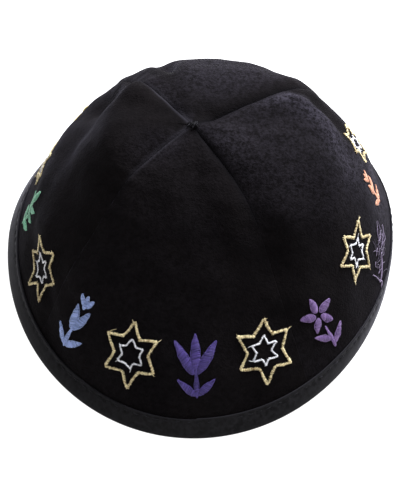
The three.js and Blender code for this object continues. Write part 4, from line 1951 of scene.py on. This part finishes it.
@dataclass
class Studio:
    """The pale floor, the soft light from behind the cap's right, and the camera. Sizes are in metres."""

    form: CapForm
    camera_elevation: float = 54.0
    camera_azimuth: float = 4.06
    camera_distance: float = 0.6439
    camera_roll: float = -4.815
    lens: float = 102.8
    shift: tuple[float, float] = (0.003, -0.036)
    sky: Color = (1.0, 1.0, 1.0, 1.0)
    sky_strength: float = 0.30

    def build_floor(self) -> bpy.types.Object:
        """Lays the floor under the rim.

        Returns:
            The floor's object.
        """
        bm = bmesh.new()
        bmesh.ops.create_grid(bm, x_segments=8, y_segments=8, size=4.0)
        mesh = bpy.data.meshes.new("studio_floor")
        bm.to_mesh(mesh)
        bm.free()
        mesh.materials.append(FloorFinish().material())
        floor = bpy.data.objects.new("studio_floor", mesh)
        bpy.context.scene.collection.objects.link(floor)
        return floor

    def add_softbox(
        self, name: str, at: Vector, size: float, power: float, tint: tuple[float, float, float]
    ) -> None:
        """Hangs a square light that faces the cap.

        Args:
            name: the light's name.
            at: where it hangs.
            size: its side.
            power: its strength in watts.
            tint: its colour.
        """
        lamp = bpy.data.lights.new(name, "AREA")
        lamp.size = size
        lamp.energy = power
        lamp.color = tint
        holder = bpy.data.objects.new(name, lamp)
        holder.location = at
        aim = Vector((0.0, self.form.plan_back, 0.03)) - at
        holder.rotation_euler = aim.to_track_quat("-Z", "Y").to_euler()
        bpy.context.scene.collection.objects.link(holder)

    def add_sky(self) -> None:
        """Fills the room with even pale light."""
        world = bpy.data.worlds.new("studio_sky")
        world.use_nodes = True
        background = world.node_tree.nodes["Background"]
        background.inputs["Color"].default_value = self.sky
        background.inputs["Strength"].default_value = self.sky_strength
        bpy.context.scene.world = world

    def add_camera(self) -> None:
        """Sets the camera at the photograph's viewpoint."""
        target = Vector((0.0, self.form.plan_back, 0.0))
        high = math.radians(self.camera_elevation)
        turn = math.radians(self.camera_azimuth)
        away = Vector((math.cos(high) * math.sin(turn), -math.cos(high) * math.cos(turn), math.sin(high)))
        lens = bpy.data.cameras.new("camera")
        lens.lens = self.lens
        lens.sensor_width = 36.0
        lens.shift_x, lens.shift_y = self.shift
        lens.clip_start = 0.01
        camera = bpy.data.objects.new("camera", lens)
        camera.location = target + away * self.camera_distance
        roll = Quaternion((0.0, 0.0, 1.0), math.radians(self.camera_roll))
        camera.rotation_euler = ((-away).to_track_quat("-Z", "Y") @ roll).to_euler()
        bpy.context.scene.collection.objects.link(camera)
        bpy.context.scene.camera = camera

    def build(self) -> None:
        """Sets up the whole studio."""
        self.add_camera()
        self.build_floor()
        self.add_sky()
        self.add_softbox("key_softbox", Vector((0.50, 0.75, 0.80)), 0.6, 52.0, (0.94, 0.95, 1.0))
        self.add_softbox("fill_softbox", Vector((-0.2, -0.9, 0.9)), 0.9, 4.0, (1.0, 0.98, 0.96))
        bpy.context.scene.view_settings.view_transform = "Standard"
        log.info("studio: floor, two softboxes, sky and camera")


class StarPlace(NamedTuple):
    """Where a star is sewn: its number, azimuth, share of the way up, turn and how far its tips reach."""

    number: int
    azimuth: float
    along: float
    turn: float
    reach: float


class SprayPlace(NamedTuple):
    """Where a spray is sewn, upright: its number, shape, thread, azimuth, share of the way up and size."""

    number: int
    spray: Spray
    tone: ThreadTone
    azimuth: float
    along: float
    size: float


STARS = (
    StarPlace(1, 23.6, 0.250, 14.0, 13.4 * MM),
    StarPlace(2, 66.2, 0.306, 50.6, 12.6 * MM),
    StarPlace(3, 101.0, 0.405, 0.0, 9.6 * MM),
    StarPlace(4, 157.5, 0.250, 8.0, 13.6 * MM),
    StarPlace(5, -157.5, 0.250, -6.0, 13.6 * MM),
    StarPlace(6, -110.5, 0.236, 4.0, 11.6 * MM),
    StarPlace(7, -67.7, 0.232, -49.0, 13.6 * MM),
    StarPlace(8, -22.6, 0.246, -10.6, 13.7 * MM),
)

SPRAYS = (
    SprayPlace(1, Spray.TULIP, ThreadTone.INDIGO, 0.0, 0.246, 1.0),
    SprayPlace(2, Spray.BLOSSOM, ThreadTone.VIOLET, 44.6, 0.226, 0.94),
    SprayPlace(3, Spray.BUD, ThreadTone.ORANGE, 88.0, 0.300, 0.76),
    SprayPlace(4, Spray.SPRIG, ThreadTone.ROSE, 135.0, 0.246, 0.96),
    SprayPlace(5, Spray.TULIP, ThreadTone.TURQUOISE, 180.0, 0.246, 1.0),
    SprayPlace(6, Spray.BLOSSOM, ThreadTone.YELLOW, -135.0, 0.246, 0.94),
    SprayPlace(7, Spray.SPRIG, ThreadTone.GREEN, -90.0, 0.222, 0.94),
    SprayPlace(8, Spray.BUD, ThreadTone.SKY, -45.0, 0.238, 0.98),
)


def main() -> None:
    """Builds the kippah and its studio."""
    logging.basicConfig(level=logging.INFO, format="%(name)s: %(message)s")
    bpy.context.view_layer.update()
    form = CapForm()
    Studio(form).build()
    threads = ThreadBox()
    Crown(form).build(Velvet().material(), Backing().material())
    RimBinding(form).build(WovenTape().material(), threads.reel(ThreadTone.BLACK))
    for star in STARS:
        plane = MotifPlane(form, star.azimuth, star.along, star.turn)
        StarEmbroidery(plane, star.number, star.reach).build(threads)
    for spot in SPRAYS:
        plane = MotifPlane(form, spot.azimuth, spot.along)
        SprayEmbroidery(plane, spot.number, spot.spray, spot.tone, spot.size).build(threads)
    CrownKnot(form).build(threads)
    LooseThreads(MotifPlane(form, 73.3, 0.163, 56.0)).build(threads)


if __name__ == "__main__":
    main()
